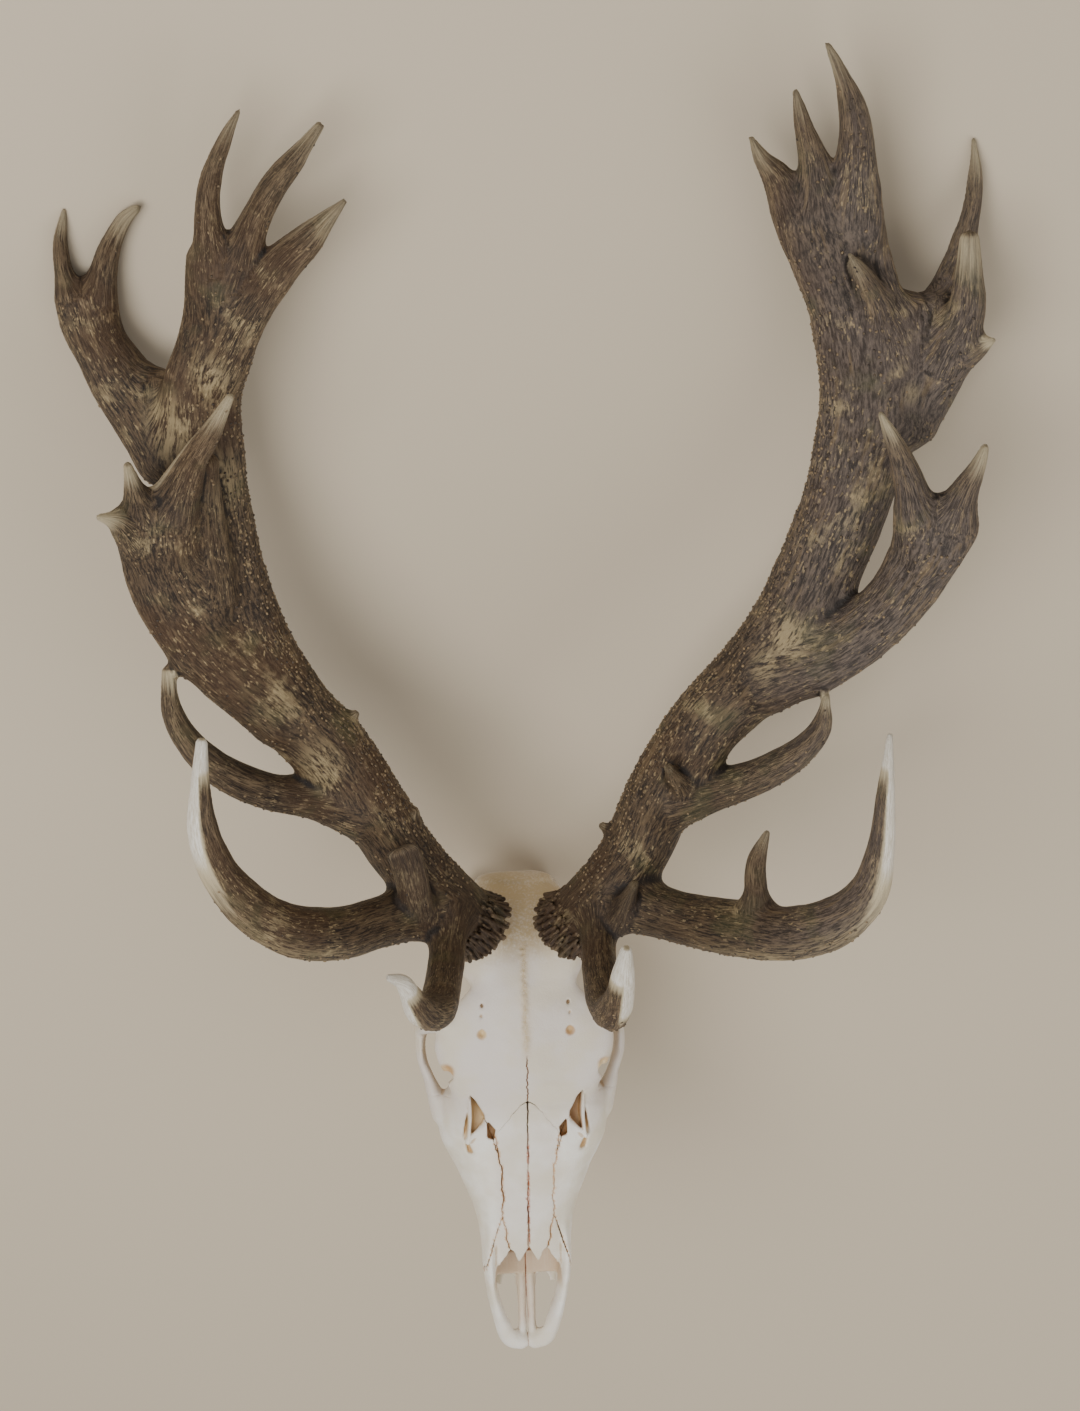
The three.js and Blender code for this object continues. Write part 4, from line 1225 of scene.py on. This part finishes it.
def along_grain(scale, squeeze, detail, roughness=0.6):
    parts = [s.noise(s.stretch(v, (1, 1, squeeze)), scale, detail, roughness) for v in (beam, tine)]
    plain = s.noise(s.stretch(where, (1, 0.3, 0.3)), scale, detail, roughness)
    return s.mix_values(whole, plain, s.mix_values(on_tine, *parts))


streak = along_grain(760, 0.13, 5.0, 0.7)
vein = along_grain(190, 0.09, 4.0)
fleck = along_grain(560, 0.3, 3.0, 0.55)
speck = s.noise(where, 900, 3.0)
patch = s.noise(where, 26, 6.0, 0.62)
tone = s.noise(where, 9, 3.0)
moss = s.ramp(s.noise(where, 24, 2.0), 0.56, 0.72)

colour = s.blend(s.ramp(streak, 0.41, 0.6), paint(38, 28, 20), paint(92, 74, 54))
colour = s.blend(s.times(s.ramp(tone, 0.45, 0.6), 0.45), colour, paint(76, 52, 31))
grey = s.blend(s.ramp(streak, 0.37, 0.65), paint(52, 45, 41), paint(112, 100, 91))
side_x = s.add("SeparateXYZ", {0: where})
colour = s.blend(s.times(s.ramp(side_x, 0.14, 0.26), 0.7), colour, grey)
colour = s.blend(s.times(s.ramp(vein, 0.54, 0.66), 0.4), colour, paint(132, 110, 80))
flecked = s.times(s.ramp(fleck, 0.57, 0.68), s.ramp(patch, 0.38, 0.6))
colour = s.blend(s.times(flecked, 0.8), colour, paint(168, 146, 108))
worn = s.plus(s.ramp(patch, 0.55, 0.72), s.times(rubbed, 0.8))
worn = s.times(worn, s.ramp(s.plus(streak, s.times(vein, 0.6)), 0.68, 0.88))
colour = s.blend(s.maths("MINIMUM", s.times(worn, 0.8), 0.8), colour, paint(160, 142, 106))
colour = s.blend(s.times(moss, 0.25), colour, paint(84, 86, 52))
# Painted shade: hollows and grooves turn near black, on top of the darker stain that they really
# hold.
colour = s.blend(s.ramp(hollow, 0.15, 0.9), colour, paint(30, 22, 16))
# Painted highlight: convex ridges turn tan, on top of the paler wear that they really show.
ridge = s.times(s.ramp(hollow, -0.35, -0.9), s.ramp(streak, 0.4, 0.62))
colour = s.blend(s.times(ridge, 0.6), colour, paint(146, 124, 94))
colour = s.blend(s.times(foot, 0.3), colour, paint(52, 40, 31))
ivory = s.ramp(s.plus(tip, s.times(vein, 0.9)), 0.7, 1.35)
dull = s.blend(s.ramp(streak, 0.35, 0.6), paint(206, 192, 166), paint(247, 241, 228))
dull = s.blend(s.ramp(tip, 0.8, 1.05), paint(202, 186, 152), dull)
colour = s.blend(ivory, colour, dull)
colour = s.blend(s.times(s.ramp(speck, 0.62, 0.78), 0.25), colour, paint(176, 160, 130))
height = s.plus(s.times(streak, 0.8), s.times(vein, 0.7))
height = s.plus(height, s.times(speck, 0.12))
dry = s.add("MapRange", {"Value": streak, "To Min": 0.66, "To Max": 0.46})
rough = s.mix_values(ivory, dry, 0.34)
s.surface.inputs["Specular IOR Level"].default_value = 0.32
ANTLER_LOOK = s.finish(colour, rough, height, 0.0016)

# %% Pearl beads
s = Shader("pearled_bead")
where = s.add("TexCoord", output="Object")
colour = s.blend(s.ramp(s.noise(where, 160, 3.0), 0.4, 0.6), paint(52, 40, 29), paint(138, 116, 84))
PEARL_LOOK = s.finish(colour, 0.5, s.noise(where, 1200, 2.0), 0.0003)

# %% Bone
s = Shader("dry_bone")
place, hollow = s.attribute("place", "Vector"), s.attribute("hollow")
dome, ridge = s.attribute("dome"), s.attribute("ridge")
nose_room, deep_room, seam = s.attribute("nose_room"), s.attribute("deep_room"), s.attribute("seam")
px, py, pz = (s.add("SeparateXYZ", {0: place}, output=k) for k in range(3))
cloud = s.noise(place, 0.03, 4.0)
grain = s.noise(place, 0.45, 5.0, 0.65)
pores = s.noise(place, 1.3, 2.0)
colour = s.blend(s.ramp(cloud, 0.35, 0.7), paint(247, 243, 232), paint(236, 227, 210))
# Painted shade: a greyer tone along the midline, and over the rear of the skull, fading in from y =
# -205 to -150.
roof = s.times(s.ramp(s.maths("ABSOLUTE", px), 32, 22), 0.45)
roof = s.maths("MAXIMUM", roof, s.times(s.ramp(py, -205, -150), 0.9))
colour = s.blend(roof, colour, paint(217, 206, 194))
yellowed = s.times(s.ramp(s.noise(place, 0.021, 3.0), 0.41, 0.62), 0.5)
colour = s.blend(yellowed, colour, paint(216, 203, 172))
warm = s.times(dome, s.ramp(s.plus(grain, s.times(cloud, 0.8)), 0.6, 1.0))
colour = s.blend(s.times(warm, 0.95), colour, paint(196, 174, 134))
colour = s.blend(s.times(ridge, s.ramp(pores, 0.32, 0.56)), colour, paint(192, 168, 128))
# Painted shade: concave places turn tan.
colour = s.blend(s.times(s.ramp(hollow, 0.5, 1.0), 0.65), colour, paint(190, 160, 120))
# Tan inside the nose, partly its own colour and partly painted shade, and painted shade on the
# palate bars.
colour = s.blend(s.times(nose_room, 0.8), colour, paint(204, 174, 138))
brown = s.blend(s.ramp(cloud, 0.4, 0.6), paint(184, 138, 80), paint(220, 192, 140))
colour = s.blend(s.times(deep_room, 0.85), colour, brown)
crease = s.blend(s.ramp(s.maths("ABSOLUTE", px), 5, 3), paint(208, 164, 116), paint(168, 92, 48))
colour = s.blend(s.times(seam, s.ramp(grain, 0.3, 0.55)), colour, crease)
strip = s.add("CombineXYZ", {1: py})
sway = s.times(s.maths("SUBTRACT", s.noise(strip, 0.16, 5.0, 0.7), 0.5), 7.0)
off = s.maths("ABSOLUTE", s.plus(px, sway))
crack = s.times(s.ramp(off, 0.75, 0.3), s.ramp(py, -112, -120))
crack = s.times(crack, s.times(s.ramp(pz, 100, 106), s.ramp(py, -160, -152)))
colour = s.blend(crack, colour, paint(120, 78, 44))
height = s.plus(s.times(grain, 0.5), s.times(pores, 0.3))
height = s.maths("SUBTRACT", height, s.times(crack, 1.5))
s.surface.inputs["Subsurface Weight"].default_value = 0.03
s.surface.inputs["Subsurface Radius"].default_value = (0.004, 0.0025, 0.0015)
BONE_LOOK = s.finish(colour, 0.48, height, 0.0006)

# %% [markdown]
# ## Pearls
# The beads along the rear of a beam repeat by the hundred, so they are scattered by a Geometry
# Nodes tree: points on the antler's skin where the `rough` attribute is high, one small round bead
# on each, its size from a seeded random value. The result is made real and the modifier is dropped.

# %% Scatter the pearls
PEARL_SPACING, PEARL_RADIUS = 0.0036, 0.0014      # metres
PEARLS_AT_MOST = 90000                            # in a square metre
SMALLEST, LARGEST = (0.6, 0.6, 0.5), (1.25, 1.1, 0.8)


def pearl_tree(seed):
    """The node tree that puts a bead wherever the skin is rough."""
    tree = bpy.data.node_groups.new("pearls", "GeometryNodeTree")
    tree.interface.new_socket("Skin", in_out="INPUT", socket_type="NodeSocketGeometry")
    tree.interface.new_socket("Beads", in_out="OUTPUT", socket_type="NodeSocketGeometry")

    def add(kind, **inputs):
        node = tree.nodes.new(kind)
        for key, value in inputs.items():
            socket = node.inputs[key.replace("_", " ")]
            if isinstance(value, bpy.types.NodeSocket):
                tree.links.new(value, socket)
            else:
                socket.default_value = value
        return node

    skin = add("NodeGroupInput").outputs["Skin"]
    rough = add("GeometryNodeInputNamedAttribute", Name="rough").outputs["Attribute"]
    spots = add("GeometryNodeDistributePointsOnFaces", Mesh=skin, Seed=seed)
    spots.distribute_method = "POISSON"
    spots.inputs["Distance Min"].default_value = PEARL_SPACING
    spots.inputs["Density Max"].default_value = PEARLS_AT_MOST
    tree.links.new(rough, spots.inputs["Density Factor"])
    bead = add("GeometryNodeMeshIcoSphere", Radius=PEARL_RADIUS, Subdivisions=1)
    dice = add("FunctionNodeRandomValue", Seed=seed)
    dice.data_type = "FLOAT_VECTOR"
    dice.inputs["Min"].default_value = SMALLEST
    dice.inputs["Max"].default_value = LARGEST
    placed = add("GeometryNodeInstanceOnPoints", Points=spots.outputs["Points"],
                 Instance=bead.outputs["Mesh"], Rotation=spots.outputs["Rotation"],
                 Scale=dice.outputs["Value"])
    real = add("GeometryNodeRealizeInstances", Geometry=placed.outputs["Instances"])
    painted = add("GeometryNodeSetMaterial", Geometry=real.outputs["Geometry"],
                  Material=PEARL_LOOK)
    add("NodeGroupOutput", Beads=painted.outputs["Geometry"])
    return tree


def pearls_on(antler, name, seed):
    """The beads of one antler as an object of their own."""
    scratch = place_object(name + "_scratch", antler.data)
    modifier = scratch.modifiers.new("pearls", "NODES")
    modifier.node_group = pearl_tree(seed)
    mesh = evaluated_mesh(scratch)
    bpy.data.objects.remove(scratch)
    mesh.polygons.foreach_set("use_smooth", np.ones(len(mesh.polygons), bool))
    print(name, "beads:", len(mesh.vertices) // 12)
    return place_object(name, mesh)


pearls = {word: pearls_on(antlers[word], word + "_pearls", seed)
          for word, seed in (("left", 5), ("right", 6))}

# %% Give every piece its finish and place
for word in PAIR:
    nodes = [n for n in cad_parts
             if n.startswith(word) and not n.endswith(("nasal", "premaxilla"))]
    antlers[word].data.materials.append(ANTLER_LOOK)
    burrs[word].data.materials.append(ANTLER_LOOK)
    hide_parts(*nodes)
    for piece in (antlers[word], pearls[word], burrs[word]):
        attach(piece, "root")
STANDS_FOR = {
    "braincase": "cranium", "cheeks_and_jaw": "upper_jaw",
    "left_nasal_bone": "left_nasal", "right_nasal_bone": "right_nasal",
    "left_nose_bar": "left_premaxilla", "right_nose_bar": "right_premaxilla",
}
for name, made in bones.items():
    made.data.materials.append(BONE_LOOK)
    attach(made, "root")
    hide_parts(STANDS_FOR[name])

# %% [markdown]
# ## Floor, light and camera
# A plain pale floor fills the view, because the camera looks steeply down on the face. Large soft
# lights give an even light of low contrast, as in a museum's store.

# %% Floor
FLOOR_SIDE = 14           # metres
bpy.ops.mesh.primitive_plane_add(size=FLOOR_SIDE)
floor = bpy.context.object
floor.name = "floor"
s = Shader("pale_floor")
s.surface.inputs["Base Color"].default_value = paint(199, 185, 163)
s.surface.inputs["Roughness"].default_value = 0.9
s.surface.inputs["Specular IOR Level"].default_value = 0.1
floor.data.materials.append(s.material)

# %% Camera square to the forehead
VIEW_TURN = math.radians(1.08)
EYE = Vector((16.2, 185.8, 2600))     # millimetres, in the frame of the head
right = Vector((math.cos(VIEW_TURN), -math.sin(VIEW_TURN), 0))
up = Vector((math.sin(VIEW_TURN), math.cos(VIEW_TURN), 0))
turn = TO_FLOOR.to_3x3() * (1 / MM)
axes = [turn @ v for v in (right, up, Vector((0, 0, 1)))]
stance = Matrix([[axes[c][r] for c in range(3)] for r in range(3)]).to_4x4()
stance.translation = TO_FLOOR @ EYE
lens = bpy.data.cameras.new("camera")
lens.sensor_fit = "AUTO"
lens.sensor_width = 36
lens.lens = 73.32
lens.clip_end = 50
camera = place_object("camera", lens)
camera.matrix_world = stance
bpy.context.scene.camera = camera
print("camera at", [round(v, 3) for v in camera.matrix_world.translation])

# %% Soft light
def soft_light(name, place, target, size, watts):
    """A round lamp at a place, turned towards its target."""
    lamp = bpy.data.lights.new(name, "AREA")
    lamp.shape = "DISK"
    lamp.size = size
    lamp.energy = watts
    made = place_object(name, lamp)
    made.location = place
    made.rotation_euler = (Vector(target) - Vector(place)).to_track_quat("-Z", "Y").to_euler()


soft_light("key", (-1.4, 0.9, 2.8), (0, 0, 0.1), 2.4, 78)
soft_light("fill", (2.2, -1.4, 2.2), (0, 0, 0.1), 2.6, 38)
soft_light("far_fill", (0.4, 2.6, 1.8), (0, 0.2, 0.1), 2.0, 6)
world = bpy.data.worlds.new("room")
bpy.context.scene.world = world
world.use_nodes = True
world.node_tree.nodes["Background"].inputs["Color"].default_value = (1, 0.985, 0.96, 1)
world.node_tree.nodes["Background"].inputs["Strength"].default_value = 0.5
